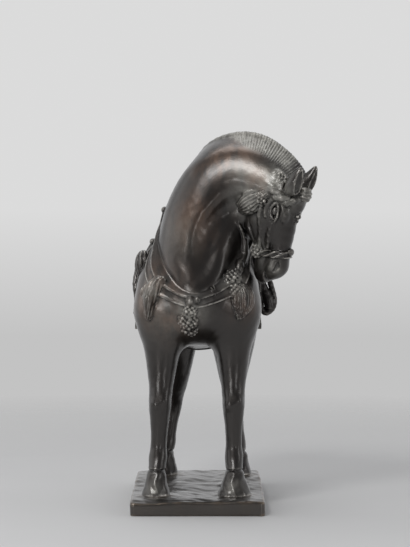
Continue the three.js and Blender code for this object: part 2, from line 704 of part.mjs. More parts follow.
function thinned({ points, faces }, target) {
  const around = points.map(() => new Set()); // the faces at each point
  faces.forEach((f, n) => f.forEach((p) => around[p].add(n)));
  const sub = (a, b) => [a[0] - b[0], a[1] - b[1], a[2] - b[2]];
  const cross = (a, b) => [
    a[1] * b[2] - a[2] * b[1], a[2] * b[0] - a[0] * b[2], a[0] * b[1] - a[1] * b[0],
  ];
  const dot = (a, b) => a[0] * b[0] + a[1] * b[1] + a[2] * b[2];
  const normal = (a, b, c) => cross(sub(b, a), sub(c, a));

  // A quadric is the upper triangle of a symmetric 4 x 4 matrix
  const quadrics = points.map(() => new Float64Array(10));
  for (const f of faces) {
    const n = normal(...f.map((p) => points[p]));
    const size = Math.sqrt(dot(n, n));
    if (size < 1e-12) continue;
    const plane = n.map((v) => v / size);
    plane.push(-dot(plane, points[f[0]]));
    let m = 0;
    for (let r = 0; r < 4; r++)
      for (let c = r; c < 4; c++, m++) for (const p of f) quadrics[p][m] += plane[r] * plane[c] * size;
  }
  const cost = (q, [x, y, z]) =>
    q[0] * x * x + 2 * q[1] * x * y + 2 * q[2] * x * z + 2 * q[3] * x + q[4] * y * y +
    2 * q[5] * y * z + 2 * q[6] * y + q[7] * z * z + 2 * q[8] * z + q[9];
  const best = (a, b) => {
    const q = quadrics[a].map((v, i) => v + quadrics[b][i]);
    const middle = points[a].map((v, i) => (v + points[b][i]) / 2);
    const matrix = new THREE.Matrix3(q[0], q[1], q[2], q[1], q[4], q[5], q[2], q[5], q[7]);
    const choices = [points[a], points[b], middle];
    if (Math.abs(matrix.determinant()) > 1e-3 * (q[0] + q[4] + q[7]) ** 3 * 1e-3) {
      const solved = new THREE.Vector3(-q[3], -q[6], -q[8]).applyMatrix3(matrix.invert());
      const length = Math.sqrt(dot(sub(points[a], points[b]), sub(points[a], points[b])));
      if (solved.distanceTo(new THREE.Vector3(...middle)) < 2 * length) choices.push(solved.toArray());
    }
    const priced = choices.map((p) => [cost(q, p), p]);
    return priced.reduce((m, c) => (c[0] < m[0] ? c : m));
  };

  // Binary heap of possible collapses; a stale entry is skipped by its stamp
  const stamp = new Uint32Array(points.length);
  const heap = [];
  const push = (entry) => {
    let n = heap.push(entry) - 1;
    while (n && heap[(n - 1) >> 1].cost > entry.cost) {
      heap[n] = heap[(n - 1) >> 1];
      n = (n - 1) >> 1;
    }
    heap[n] = entry;
  };
  const pop = () => {
    const top = heap[0];
    const last = heap.pop();
    if (heap.length) {
      let n = 0;
      for (;;) {
        let child = 2 * n + 1;
        if (child >= heap.length) break;
        if (child + 1 < heap.length && heap[child + 1].cost < heap[child].cost) child++;
        if (heap[child].cost >= last.cost) break;
        heap[n] = heap[child];
        n = child;
      }
      heap[n] = last;
    }
    return top;
  };
  const offer = (a, b) => {
    const [price, point] = best(a, b);
    push({ cost: price, a, b, point, stampA: stamp[a], stampB: stamp[b] });
  };
  const neighbours = (p) => {
    const found = new Set();
    for (const n of around[p]) for (const q of faces[n]) if (q !== p) found.add(q);
    return found;
  };
  const turns = (p, other, point) => {
    for (const n of around[p]) {
      const f = faces[n];
      if (f.includes(other)) continue;
      const before = normal(...f.map((q) => points[q]));
      const after = normal(...f.map((q) => (q === p ? point : points[q])));
      const scale = Math.sqrt(dot(before, before) * dot(after, after));
      if (dot(before, after) < 0.25 * scale || dot(after, after) < 1e-4) return true;
    }
    return false;
  };

  for (const f of faces) for (let i = 0; i < 3; i++) if (f[i] < f[(i + 1) % 3]) offer(f[i], f[(i + 1) % 3]);
  let left = faces.length;
  while (left > target && heap.length) {
    const { a, b, point, stampA, stampB } = pop();
    if (stamp[a] !== stampA || stamp[b] !== stampB || !around[a].size || !around[b].size) continue;
    const nearB = neighbours(b);
    const shared = [...neighbours(a)].filter((p) => nearB.has(p));
    if (shared.length !== 2 || turns(a, b, point) || turns(b, a, point)) continue;
    points[a] = point;
    quadrics[b].forEach((v, i) => { quadrics[a][i] += v; });
    for (const n of [...around[b]]) {
      if (faces[n].includes(a)) {
        for (const p of faces[n]) around[p].delete(n);
        faces[n] = null;
        left--;
      } else {
        faces[n] = faces[n].map((p) => (p === b ? a : p));
        around[a].add(n);
      }
    }
    around[b].clear();
    stamp[a]++;
    stamp[b]++;
    for (const p of neighbours(a)) offer(a, p);
  }
  return { points, faces: faces.filter(Boolean) };
}

// Keeps the largest connected piece, so that no speck of the grid is left
function largest({ points, faces }) {
  const parent = points.map((_, i) => i);
  const root = (i) => {
    while (parent[i] !== i) i = parent[i] = parent[parent[i]];
    return i;
  };
  for (const [a, b, c] of faces) {
    parent[root(a)] = root(b);
    parent[root(b)] = root(c);
  }
  const size = new Map();
  for (const f of faces) size.set(root(f[0]), (size.get(root(f[0])) || 0) + 1);
  const biggest = [...size].reduce((m, s) => (s[1] > m[1] ? s : m))[0];
  return { points, faces: faces.filter((f) => root(f[0]) === biggest) };
}

function horseGeometry() {
  const coarse = surface(horseField(), [-100, -160, SOLE - 4.1], [156, 206, 472], GRID);
  const { points, faces } = thinned(largest(coarse), HORSE_TRIANGLES);
  const geometry = new THREE.BufferGeometry();
  geometry.setAttribute("position", new THREE.Float32BufferAttribute(points.flat(), 3));
  geometry.setIndex(faces.flat());
  const kept = mergeVertices(geometry.toNonIndexed(), 1e-4);
  kept.computeVertexNormals();
  return kept;
}

// The plate's top: low ripples, thicker towards the left front, level under the hooves
const FEET = [[-50, -94], [44.5, -94], [-43, 108], [53, 108]];

function ground(x, y) {
  const nearest = Math.min(...FEET.map(([fx, fy]) => Math.hypot(x - fx, y - fy)));
  const level = smoothstep(nearest, 36, 54);
  const ripple = Math.sin(y / 7.3 + 1.3 * Math.sin(x / 21)) + 0.6 * Math.sin(x / 13 - y / 17);
  return PLATE.thickness + level * (PLATE.ripple * ripple + x / 90);
}

function plateGeometry() {
  const { width, length, thickness } = PLATE;
  const box = new THREE.BoxGeometry(width, length, thickness, 11, 20, 1);
  box.translate(0, 0, thickness / 2);
  const position = box.getAttribute("position");
  for (let i = 0; i < position.count; i++)
    if (position.getZ(i) > thickness / 2)
      position.setZ(i, ground(position.getX(i), position.getY(i)));
  box.computeVertexNormals();
  return box;
}

const bronze = new THREE.MeshStandardMaterial(BRONZE);
const horse = new THREE.Mesh(horseGeometry(), bronze);
horse.name = "horse";
const plate = new THREE.Mesh(plateGeometry(), bronze.clone());
plate.name = "ground_plate";

const figure = new THREE.Group();
figure.add(horse, plate);

export default figure;
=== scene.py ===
"""Looks of a bronze horse figure on its ground plate.

The horse is modelled like clay, in millimetres: limbs and muscles are rounded solids that flow
into each other, and harness, hair and features are raised on them. That shape is meshed finely
and thinned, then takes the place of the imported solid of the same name.
"""

import math

import bpy
import numpy as np
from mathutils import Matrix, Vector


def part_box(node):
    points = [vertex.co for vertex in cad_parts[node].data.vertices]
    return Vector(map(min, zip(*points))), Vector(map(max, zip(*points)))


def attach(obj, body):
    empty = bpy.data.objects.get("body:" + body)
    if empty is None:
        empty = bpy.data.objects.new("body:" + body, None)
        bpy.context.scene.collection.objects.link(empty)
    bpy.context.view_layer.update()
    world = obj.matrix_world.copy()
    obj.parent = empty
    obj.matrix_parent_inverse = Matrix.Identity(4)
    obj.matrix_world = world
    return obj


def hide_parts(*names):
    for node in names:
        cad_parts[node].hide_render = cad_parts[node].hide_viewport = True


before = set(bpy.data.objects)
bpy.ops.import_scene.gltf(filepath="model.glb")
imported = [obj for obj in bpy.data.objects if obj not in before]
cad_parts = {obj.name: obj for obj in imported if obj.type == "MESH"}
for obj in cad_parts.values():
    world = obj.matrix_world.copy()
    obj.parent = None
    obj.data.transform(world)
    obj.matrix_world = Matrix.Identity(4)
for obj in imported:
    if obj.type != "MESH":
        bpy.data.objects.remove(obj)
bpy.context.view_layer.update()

# Sizes that come from the frame
HORSE_LOW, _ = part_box("horse")
PLATE_LOW, PLATE_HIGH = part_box("ground_plate")
MM = (PLATE_HIGH.x - PLATE_LOW.x) / 160  # the model's unit, in metres
SOLE = HORSE_LOW.z / MM
PLATE_WIDTH = (PLATE_HIGH.x - PLATE_LOW.x) / MM
PLATE_LENGTH = (PLATE_HIGH.y - PLATE_LOW.y) / MM

BELLY = 187
BACK = 338
BODY_HALF_WIDTH = 72
HOOF_TOP = 48

STEP = 0.92  # grid step of the finely meshed horse
HORSE_TRIANGLES = 190000
PLATE_TRIANGLES = HORSE_TRIANGLES // 2


# Fields: each takes a cloud of points and gives their distances to a surface, negative inside.
# A plain number stands for a form that is too far from all of the cloud to matter.

FAR = 22.0
GOLDEN_ANGLE = math.pi * (3 - math.sqrt(5))


def far(distance):
    return isinstance(distance, float)


def unit(vector):
    return np.asarray(vector, float) / np.linalg.norm(vector)


class Cloud:
    """Points as three arrays, with the box round them."""

    def __init__(self, x, y, z):
        self.x, self.y, self.z = x, y, z
        self.low = [float(a.min()) for a in (x, y, z)]
        self.high = [float(a.max()) for a in (x, y, z)]
        self.known = {}

    def away(self, low, high):
        gaps = (max(l - b, a - h, 0.0) for l, h, a, b in zip(low, high, self.low, self.high))
        return math.hypot(*gaps)


def once(field):
    """Works a field out one time for each cloud, however many forms are built on it."""
    def remembered(p):
        if field not in p.known:
            p.known[field] = field(p)
        return p.known[field]

    return remembered


def ellipsoid(centre, radii, always=False):
    (cx, cy, cz), (rx, ry, rz) = centre, radii
    low = np.subtract(centre, radii).tolist()
    high = np.add(centre, radii).tolist()

    def field(p):
        away = p.away(low, high)
        if away > FAR and not always:
            return away
        x, y, z = (p.x - cx) / rx, (p.y - cy) / ry, (p.z - cz) / rz
        k0 = np.sqrt(x * x + y * y + z * z)
        k1 = np.sqrt((x / rx) ** 2 + (y / ry) ** 2 + (z / rz) ** 2)
        return k0 * (k0 - 1) / np.maximum(k1, 1e-9)

    return field


def taper(a, b, ra, rb):
    """A bar with round ends of different radii."""
    a, b = np.array(a, float), np.array(b, float)
    length = max(np.linalg.norm(b - a), 1e-6)
    nx, ny, nz = ((b - a) / length).tolist()
    ax, ay, az = a.tolist()
    slope = float(max(-0.99, min(0.99, (ra - rb) / length)))
    cosine = math.sqrt(1 - slope * slope)
    low = np.minimum(a - ra, b - rb).tolist()
    high = np.maximum(a + ra, b + rb).tolist()

    def field(p):
        away = p.away(low, high)
        if away > FAR:
            return away
        x, y, z = p.x - ax, p.y - ay, p.z - az
        t = x * nx + y * ny + z * nz
        r2 = np.maximum(x * x + y * y + z * z - t * t, 0)
        r = np.sqrt(r2)
        side = cosine * t - slope * r
        middle = cosine * r + slope * t - ra
        start = np.sqrt(r2 + t * t) - ra
        end = np.sqrt(r2 + (t - length) ** 2) - rb
        return np.where(side < 0, start, np.where(side > cosine * length, end, middle))

    return field


def blend(a, b, k):
    if far(b):
        return min(a, b) if far(a) else a
    if far(a):
        return b
    h = np.maximum(k - np.abs(a - b), 0) / k
    return np.minimum(a, b) - h * h * k * 0.25


def join(k, *fields):
    def field(p):
        d = fields[0](p)
        for other in fields[1:]:
            d = blend(d, other(p), k)
        return d

    return field


def carve(k, base, tool):
    def field(p):
        d, cut = base(p), tool(p)
        if far(d) or far(cut):
            return d
        return -blend(-d, cut, k)

    return field


def cut(k, a, b):
    """Where both a and b are negative, with a rounded edge."""
    if far(a) and far(b):
        return max(a, b)
    if far(a) or far(b):
        return a if far(a) else b
    h = np.maximum(k - np.abs(a - b), 0) / k
    return np.maximum(a, b) + h * h * k * 0.25


def boxed(low, high, inner):
    low, high = [float(c) for c in low], [float(c) for c in high]

    def field(p):
        away = p.away(low, high)
        return away if away > FAR else inner(p)

    return field


def curve(points, count, closed=False):
    """Points on a smooth centripetal curve, evenly spaced in its parameter."""
    pts = np.array(points, float)
    if closed:
        pts = np.vstack([pts[-1], pts, pts[:2]])
    else:
        pts = np.vstack([2 * pts[0] - pts[1], pts, 2 * pts[-1] - pts[-2]])
    spans = len(pts) - 3
    found = []
    for n in range(count + 1):
        at = spans * n / count
        i = min(int(at), spans - 1)
        w = at - i
        p0, p1, p2, p3 = pts[i:i + 4]
        gaps = [math.sqrt(np.linalg.norm(q - p)) for p, q in ((p0, p1), (p1, p2), (p2, p3))]
        if gaps[1] < 1e-4:
            gaps[1] = 1.0
        d0, d1, d2 = (g if g >= 1e-4 else gaps[1] for g in gaps)
        t1 = ((p1 - p0) / d0 - (p2 - p0) / (d0 + d1) + (p2 - p1) / d1) * d1
        t2 = ((p2 - p1) / d1 - (p3 - p1) / (d1 + d2) + (p3 - p2) / d2) * d1
        c2 = -3 * p1 + 3 * p2 - 2 * t1 - t2
        c3 = 2 * p1 - 2 * p2 + t1 + t2
        found.append(p1 + t1 * w + c2 * w * w + c3 * w ** 3)
    return np.array(found)


def limb(stations, k=3, splits=1):
    """Tapered bars through stations (x, y, z, radius), with more stations between on a curve."""
    chain = np.array(stations, float)
    if splits > 1:
        count = (len(chain) - 1) * splits
        places = curve(chain[:, :3], count)
        radii = curve([(r, 0, 0) for r in chain[:, 3]], count)[:, :1]
        chain = np.hstack([places, radii])
    bars = [taper(a[:3], b[:3], a[3], b[3]) for a, b in zip(chain, chain[1:])]
    low = (chain[:, :3] - chain[:, 3:]).min(0)
    high = (chain[:, :3] + chain[:, 3:]).max(0)
    return boxed(low, high, join(k, *bars))


def band(base, point, normal, half_width, height, within=None, round_edge=1.6):
    """What lies within half_width of a plane, standing height above the base field."""
    n = unit(normal)
    offset = n @ np.array(point, float)

    def field(p):
        d = base(p)
        if far(d):
            return d
        side = np.abs(n[0] * p.x + n[1] * p.y + n[2] * p.z - offset) - half_width
        if side.min() > FAR:
            return float(side.min())
        raised = cut(round_edge, d - height, side)
        return raised if within is None else np.maximum(raised, within(p))

    return field


def fluted(inner, a, b, count, depth, twist=0.0):
    """Runs ridges along a form, round the line from a to b."""
    a = np.array(a, float)
    axis = unit(b - a)
    side = unit(np.cross(axis, (0.3, 0.5, 0.81)))
    other = np.cross(axis, side)

    def field(p):
        d = inner(p)
        if far(d):
            return d
        x, y, z = p.x - a[0], p.y - a[1], p.z - a[2]
        along, across, up = (x * e[0] + y * e[1] + z * e[2] for e in (axis, side, other))
        return d - depth * np.cos(count * np.arctan2(up, across) + twist * along)

    return field


def berries(centre, radii, count, bead):
    """A cluster of beads all over an ellipsoid."""
    centre, radii = np.array(centre, float), np.array(radii, float)
    found = [ellipsoid(centre, radii * 0.86)]
    for n in range(count):
        height = 1 - 2 * (n + 0.5) / count
        turn = n * GOLDEN_ANGLE
        flat = math.sqrt(1 - height * height)
        spot = centre + radii * (flat * math.cos(turn), flat * math.sin(turn), height) * 0.92
        size = bead * (0.66 + 0.7 * abs(math.sin(7.3 * n)))
        found.append(ellipsoid(spot, (size, size, size)))
    low, high = centre - radii - bead, centre + radii + bead
    return boxed(low, high, join(0.7, *found))


def placed(inner, origin, u, v, w):
    """Moves a field from its own u, v, w axes to the figure's."""
    def field(p):
        x, y, z = p.x - origin[0], p.y - origin[1], p.z - origin[2]
        return inner(Cloud(*(x * a[0] + y * a[1] + z * a[2] for a in (u, v, w))))

    return field


def reach(field, points, directions, steps=50):
    """Where points that move along directions meet a surface."""
    p = np.atleast_2d(np.array(points, float)).copy()
    d = np.broadcast_to(np.array(directions, float), p.shape)
    d = d / np.linalg.norm(d, axis=1, keepdims=True)
    for _ in range(steps):
        p += d * 0.8 * np.reshape(field(Cloud(*p.T)), (-1, 1))
    return p


def pair(make):
    return [make(-1), make(1)]


def sided(stations, k=3, splits=1):
    """The same limb on both sides of the head, from stations (u, v, w outwards, radius)."""
    return pair(lambda side: limb([(u, v, side * w, r) for u, v, w, r in stations], k, splits))


# The trunk and the legs

def trunk():
    depth = BACK - BELLY
    mid = BELLY + depth / 2
    muscles = [
        ((1, 18, mid), (BODY_HALF_WIDTH, 112, depth / 2)),
        ((0, -62, mid + 2), (58, 46, 62)),
        ((-3, -82, mid - 8), (36, 38, 46)),
        ((4, 94, mid + 10), (66, 68, 71)),
        ((0, -30, BACK - 14), (30, 52, 36)),
        *pair(lambda side: ((side * 43, -66, mid - 16), (30, 37, 54))),
    ]
    return join(28, *(ellipsoid(c, r, always=True) for c, r in muscles))


def foreleg(side, foot_x):
    """Leans from the hip to the foot, and has two low swells at the front of the knee."""
    hip_x = side * 43

    def x(share):
        return hip_x + (foot_x - hip_x) * share

    leg = limb([
        (side * 44, -76, 238, 31), (x(0), -75, 204, 23), (x(0.05), -77, 172, 17.5),
        (x(0.2), -81, 146, 13.8), (x(0.35), -84, 126, 13.0), (x(0.42), -83, 110, 11.2),
        (x(0.5), -82, 92, 9.6), (x(0.6), -81, 76, 9.2), (x(0.7), -82, 62, 10.6),
        (x(0.85), -88, 50, 9.8), (x(1), -92, 42, 10.4),
    ], 1.5, 4)
    tendon = limb([
        (x(0.35), -75, 128, 8), (x(0.5), -74, 92, 5.4), (x(0.65), -72, 64, 7),
        (x(0.7), -75, 57, 5),
    ], 2, 2)
    forearm = taper((x(0), -66, 208), (x(0.2), -75, 150), 20, 10)
    knee = [ellipsoid((x(0.35) + dx, -91, z), (5, 6, 7)) for dx, z in ((-5, 127), (4.5, 131))]
    return hoofed(join(5, join(7, leg, tendon, forearm), *knee), x(1), -94, 1.5 + side * 1.5)


def hindleg(hip_x, foot_x):
    """The hind legs stand closer together at the thigh than at the foot."""
    def at(stations):
        shares = [max(0, (150 - z) / 109) ** 1.2 for _, z, _ in stations]
        return [(hip_x + (foot_x - hip_x) * share, *rest) for share, rest in zip(shares, stations)]

    leg = limb(at([
        (86, 232, 34), (80, 200, 29), (88, 172, 23), (103, 144, 17), (120, 118, 12.6),
        (124, 102, 11.6), (122, 86, 9.6), (120, 72, 9.4), (119, 58, 10.6), (113, 48, 9.8),
        (109, 41, 10.6),
    ]), 1.5, 4)
    hock_point = limb(at([
        (112, 156, 7), (132, 122, 6.5), (131, 104, 6.5), (128, 74, 5.2), (128, 56, 6),
    ]), 2, 2)
    thigh = ellipsoid((hip_x * 1.05, 98, 250), (32, 52, 60))
    return hoofed(join(8, leg, hock_point, thigh), foot_x, 108, 0)


def hoofed(leg, x, y, spread):
    """A hoof flares to the ground, longest at the toe, and is cut flat at the sole. A crease marks
    its top, and its face is a little lumpy."""
    cone = join(
        4,
        taper((x, y + 1, HOOF_TOP - 9), (x, y - 3, SOLE - 2), 11.8, 17.5 + spread),
        taper((x, y + 6, HOOF_TOP - 12), (x, y + 7, SOLE - 2), 10, 13.5),
    )
    both = join(2.2, leg, cone)

    def field(p):
        d = both(p)
        if far(d) or p.low[2] > HOOF_TOP + 15:
            return d
        crease = np.exp(-((p.z - HOOF_TOP) / 1.3) ** 2)
        lumps = np.sin(0.62 * p.x + 1.7 * np.sin(0.23 * p.z)) * smoothstep(HOOF_TOP - p.z, 0, 6)
        return np.maximum(d + 1.3 * crease - 0.34 * lumps, SOLE - p.z)

    return field


# Neck: rises from the chest, arches over and comes down to the poll on the left side
NECK = [
    (0, -64, 270, 48), (0, -66, 300, 48), (1, -67, 330, 46), (8, -66, 362, 43),
    (25, -68, 392, 40), (52, -78, 405, 34.5), (79, -92, 397, 29), (101, -103, 382, 24),
    (112, -110, 370, 17),
]
THROAT = [(20, -50, 290, 38), (28, -54, 325, 37), (42, -60, 356, 31), (64, -78, 376, 26)]
WINDPIPE = [(31, -54.5, 286, 27), (36, -61.5, 312, 24), (39, -67, 331, 19)]
# The valley between the crest's muscle and the windpipe: x, z, radius and how far it is sunk
VALLEY = [
    (52, 364, 8, 2), (38, 358, 11, 5.5), (25, 345, 14, 8), (16, 328, 17, 6),
    (11, 308, 18, 1.5), (8, 290, 18, -4),
]
MANE = {
    "start": 0.3, "height": 19, "sunk": 8, "edge": 4, "locks": 40, "lines": 152, "groove": 0.27,
    "pivot": (51, 366),
}


def furrow(base):
    found = reach(base, [(x, -170, z) for x, z, _, _ in VALLEY], (0, 1, 0))
    stations = [(*(p - (0, r - sunk, 0)), r) for p, (_, _, r, sunk) in zip(found, VALLEY)]
    return limb(stations, 3, 2)


def smoothstep(value, low, high):
    t = np.clip((value - low) / (high - low), 0, 1)
    return t * t * (3 - 2 * t)


def crest():
    """Stations along the mane: its root, its top and the direction to its near side."""
    fine = 400
    line = curve([s[:3] for s in NECK], fine)
    tangents = np.gradient(line, axis=0)
    radii = [s[3] for s in NECK]
    stations = []
    for n in range(MANE["locks"] + 1):
        share = n / MANE["locks"]
        t = MANE["start"] + (1 - MANE["start"]) * share
        i = round(t * fine)
        along = unit(tangents[i])
        lean = smoothstep(share, 0, 0.4)
        out = np.array([0, 1 - 0.68 * lean, 0.1 + 0.9 * lean])
        out = unit(out - along * (out @ along))
        height = MANE["height"] * math.sin(math.pi * (0.05 + 0.87 * share)) ** 0.8
        radius = np.interp(t * (len(NECK) - 1), range(len(NECK)), radii)
        root = line[i] + out * (radius - MANE["sunk"])
        top = line[i] + out * (radius + height - MANE["edge"])
        stations.append((root, top, np.cross(out, along) * -smoothstep(share, 0.2, 0.5)))
    return stations


def mane():
    """The hogged mane stands on the crest as a blade, combed in fine lines up to its edge."""
    stations = crest()
    rails = (
        (-0.12, 10, 10), (0, 11.5, 0), (0.25, 9, 5), (0.3, 9.5, 0), (0.65, 6.8, 0),
        (1, MANE["edge"], 0),
    )

    def rail(level, radius, aside):
        spots = (root + (top - root) * level + near * aside for root, top, near in stations)
        return limb([(*spot, radius) for spot in spots], 1)

    blade = join(6, *(rail(*numbers) for numbers in rails))
    pivot_x, pivot_z = MANE["pivot"]

    def combed(p):
        d = blade(p)
        if far(d):
            return d
        turn = np.arctan2(p.x - pivot_x, p.z - pivot_z)
        line = np.cos(MANE["lines"] * turn + 0.6 * np.sin(17 * turn))
        return d - MANE["groove"] * smoothstep(p.x, 38, 56) * line

    return combed


def maned(base):
    """The mane grows smoothly out of the back of the neck and stands clear of it further up."""
    hair = boxed((-30, -125, 330), (145, 10, 470), mane())

    def field(p):
        a, b = base(p), hair(p)
        if far(a) or far(b):
            return blend(a, b, 5)
        return blend(a, b, 3 + 16 * (1 - smoothstep(p.x, 10, 60)))

    return field


# Head, in its own axes: u from the poll to the muzzle, v out of the face, w to its left
HEAD = {"turn": 57, "tuck": 14, "roll": 4, "poll": (108, -112, 388)}
BOUND_FORELOCK = ((-3, 6.6), (1, 8.2), (5.2, 8.2), (9.2, 6.4))  # u and radius of each of its turns


def head_axes():
    turn, tuck, roll = (math.radians(HEAD[name]) for name in ("turn", "tuck", "roll"))
    facing = np.array([math.sin(turn), -math.cos(turn), 0])
    up = np.array([0, 0, 1.0])
    v = facing * math.cos(tuck) - up * math.sin(tuck)
    u = -facing * math.sin(tuck) - up * math.cos(tuck)
    w = np.cross(v, u)
    rolled_u = u * math.cos(roll) + w * math.sin(roll)
    rolled_w = w * math.cos(roll) + np.cross(v, w) * math.sin(roll)
    return np.array(HEAD["poll"], float), rolled_u, v, rolled_w


def skull():
    return join(
        9,
        ellipsoid((22, -8, 0), (29, 25, 20)),
        limb([(30, 3, 0, 14), (50, 5.2, 0, 13), (72, 4.6, 0, 12.2), (96, 5, 0, 11)], 2, 2),
        ellipsoid((95, 3, 0), (13, 13, 14)),
        ellipsoid((104, -2, 0), (9.5, 10, 11)),
        ellipsoid((110.5, -12, 0), (11, 9.5, 9.5)),
        limb([(56, -27, 0, 13), (84, -15, 0, 11), (104, -14.5, 0, 10.5)]),
        *pair(lambda s: ellipsoid((42, -20, s * 8), (32, 28, 12))),
    )


def head():
    features = join(
        2.5,
        skull(),
        *pair(lambda s: ellipsoid((30, 9.5, s * 13), (12, 6.5, 6.5))),
        *sided([(90, 5, 11.5, 3), (96, 4.5, 12.5, 4), (101, 0, 11.5, 3)], 2, 2),
        *sided([(44, -3, 17, 3), (58, -5, 15.5, 3.4), (74, -6, 12.5, 2.5)], 2, 2),
        *ears(),
        *(ellipsoid((u, 25, 0), (2.9, r, r)) for u, r in BOUND_FORELOCK),
    )
    nostrils = sided([(89, 11, 11.5, 1), (94, 12, 12.5, 2.2), (100, 8.5, 13.5, 1.6)])
    lips = ellipsoid((111, -3.5, 0), (8.5, 1.5, 17))
    jaw_creases = sided([(38, -40, 22, 2), (56, -33, 18.5, 2.4), (74, -24, 15, 1.6)])
    sockets = pair(lambda s: ellipsoid((28, -0.5, s * 22.5), (12, 8, 6.4)))
    carved = carve(1.5, features, join(1, lips, *nostrils, *jaw_creases, *sockets))
    return join(1, carved, *pair(eye))


def eye(side):
    """A large almond eye with heavy lids, and folds over it."""
    def fold(points, radius, depth=20.5):
        return limb([(u, v, side * depth, radius) for u, v in points], 1.5, 2)

    ball = ellipsoid((28.5, -1, side * 16.8), (6, 3.6, 5.2))
    back_lid = fold([(38, -1), (34, -4.2), (28, -5.8), (22, -4.6), (17, 0)], 1.5, 20.6)
    front_lid = fold([(17, 0), (22, 3), (27, 3.6), (34, 3.8), (41, 1)], 1.2, 19.6)
    brow = fold([(37, -12), (30, -13.2), (23, -12), (15.5, -7), (12, -1)], 2.4, 20.4)
    edge = fold([(14, 3.6), (20, 7.4), (26, 10), (30, 12)], 1.7, 18)
    return join(0.8, ball, back_lid, front_lid, brow, edge)


def ears():
    """Pricked, and hollowed towards the front."""
    outer = sided([(-3, 14, 14, 9.4), (-11, 17.5, 16, 9), (-20, 20.5, 17, 5.8), (-29, 22.5, 17, 1.7)], 2, 3)
    hollow = sided([(-3, 24, 15, 5.6), (-11, 26, 17, 6.4), (-19, 25.8, 18, 4.2), (-25, 25.4, 18, 1.5)], 2, 3)
    return [carve(1, *both) for both in zip(outer, hollow)]


def rope(points, radius, turns_every, strands=2):
    """A twisted cord through points: slanting strands round a core."""
    path = curve(points, 60)
    lengths = np.concatenate([[0], np.cumsum(np.linalg.norm(np.diff(path, axis=0), axis=1))])
    count = max(8, round(lengths[-1] / (turns_every / 6)))
    found = []
    for strand in range(strands):
        stations = []
        for n in range(count + 1):
            at = lengths[-1] * n / count
            centre = np.array([np.interp(at, lengths, path[:, axis]) for axis in range(3)])
            i = min(int(np.searchsorted(lengths, at)), len(path) - 2)
            along = unit(path[i + 1] - path[i])
            side = unit(np.cross(along, (0, 0, 1.0) if abs(along[2]) < 0.9 else (1.0, 0, 0)))
            up = np.cross(along, side)
            turn = 2 * math.pi * (at / turns_every + strand / strands)
            spot = centre + radius * 0.5 * (side * math.cos(turn) + up * math.sin(turn))
            stations.append((*spot, radius * 0.56))
        found.append(limb(stations, 0.5))
    return join(0.6, *found)


def cheek_tassel(side):
    """The big ornament on the cheek: a smooth lobe and scalloped leaves behind a cluster of beads."""
    body = limb([
        (9, -15, side * 20, 5.5), (17, -25, side * 19.5, 9), (25, -36, side * 19, 11.5),
        (32, -43, side * 18, 8.5),
    ], 4, 2)
    lobe = ellipsoid((14.5, -37, side * 24), (7, 10, 6.5))
    tips = (
        (23.7, -48, 21), (30, -48.5, 21), (35.4, -43.5, 21.5), (35.7, -35.5, 22.5), (31, -28, 23),
    )
    leaves = [ellipsoid((u, v, side * w), (4.6, 4.8, 4.4)) for u, v, w in tips]
    beads = berries((17.5, -21.5, side * 22), (9.5, 9, 7), 44, 1.9)
    more = berries((26.5, -34, side * 24), (8.5, 10, 6), 50, 1.6)
    lip = limb([(39.5, -48, side * 18, 2.4), (40, -38, side * 20, 2.6), (30, -21, side * 20, 2)], 1, 3)
    shell = fluted(join(2, body, lobe, *leaves), (36, -46, side * 20), (10, -16, side * 20), 17, 0.55)
    return join(1, shell, beads, more, lip)


def around(base, places, stand):
    """Points round the head, (u, degrees from the front), standing off its surface."""
    found = []
    for u, degrees in places:
        turn = math.radians(degrees)
        outward = np.array([0, math.cos(turn), math.sin(turn)])
        on_it = reach(base, (u, -2, 0) + 60 * outward, -outward)[0]
        found.append(on_it + stand * outward)
    return found


def bridled_head():
    bare = once(head())

    def noseband(p):
        d = bare(p)
        if far(d):
            return d
        across = p.x + 0.13 * p.y - 81
        twist = np.cos((p.y * 0.9 + across * 1.6) * 2 * math.pi / 12)
        return cut(2, d - 2.8 - 0.9 * twist, np.abs(across) - 4.6)

    headpiece = band(bare, (8, -18, 0), (1, 0.55, 0), 4, 3, lambda p: p.y - 4)
    places = [(1, -132), (6, -106), (10.5, -75), (13, -48), (11.5, -22), (7, -4)]
    browband = rope(around(skull(), places, 3.4), 6.8, 40, 3)
    far_brow = rope(around(skull(), [(u, -turn) for u, turn in places], 2.2), 5.4, 36, 3)
    cheekpieces = sided([
        (24, -19, 21, 3), (38, -20.5, 20, 2.8), (57, -17, 16.5, 2.8), (76, -17, 13.5, 3),
    ], 3, 2)
    rosettes = pair(lambda s: berries((82, -20, s * 12.5), (9, 6.5, 5.5), 30, 1.9))
    nose_knob = ellipsoid((75.5, 19, 0), (4.8, 4, 5.5))
    poll_patches = pair(lambda s: berries((-4, -10, s * 10.5), (15, 16, 5), 110, 1.7))
    forelock = berries((29, 15.5, 1), (13, 5.5, 7), 46, 1.9)
    curls = pair(lambda s: berries((5, -19, s * 15), (11, 11, 6), 60, 1.7))
    return join(
        1.2, bare, noseband, headpiece, browband, far_brow, *cheekpieces, *rosettes, nose_knob,
        *poll_patches, forelock, *curls, *pair(cheek_tassel),
    )


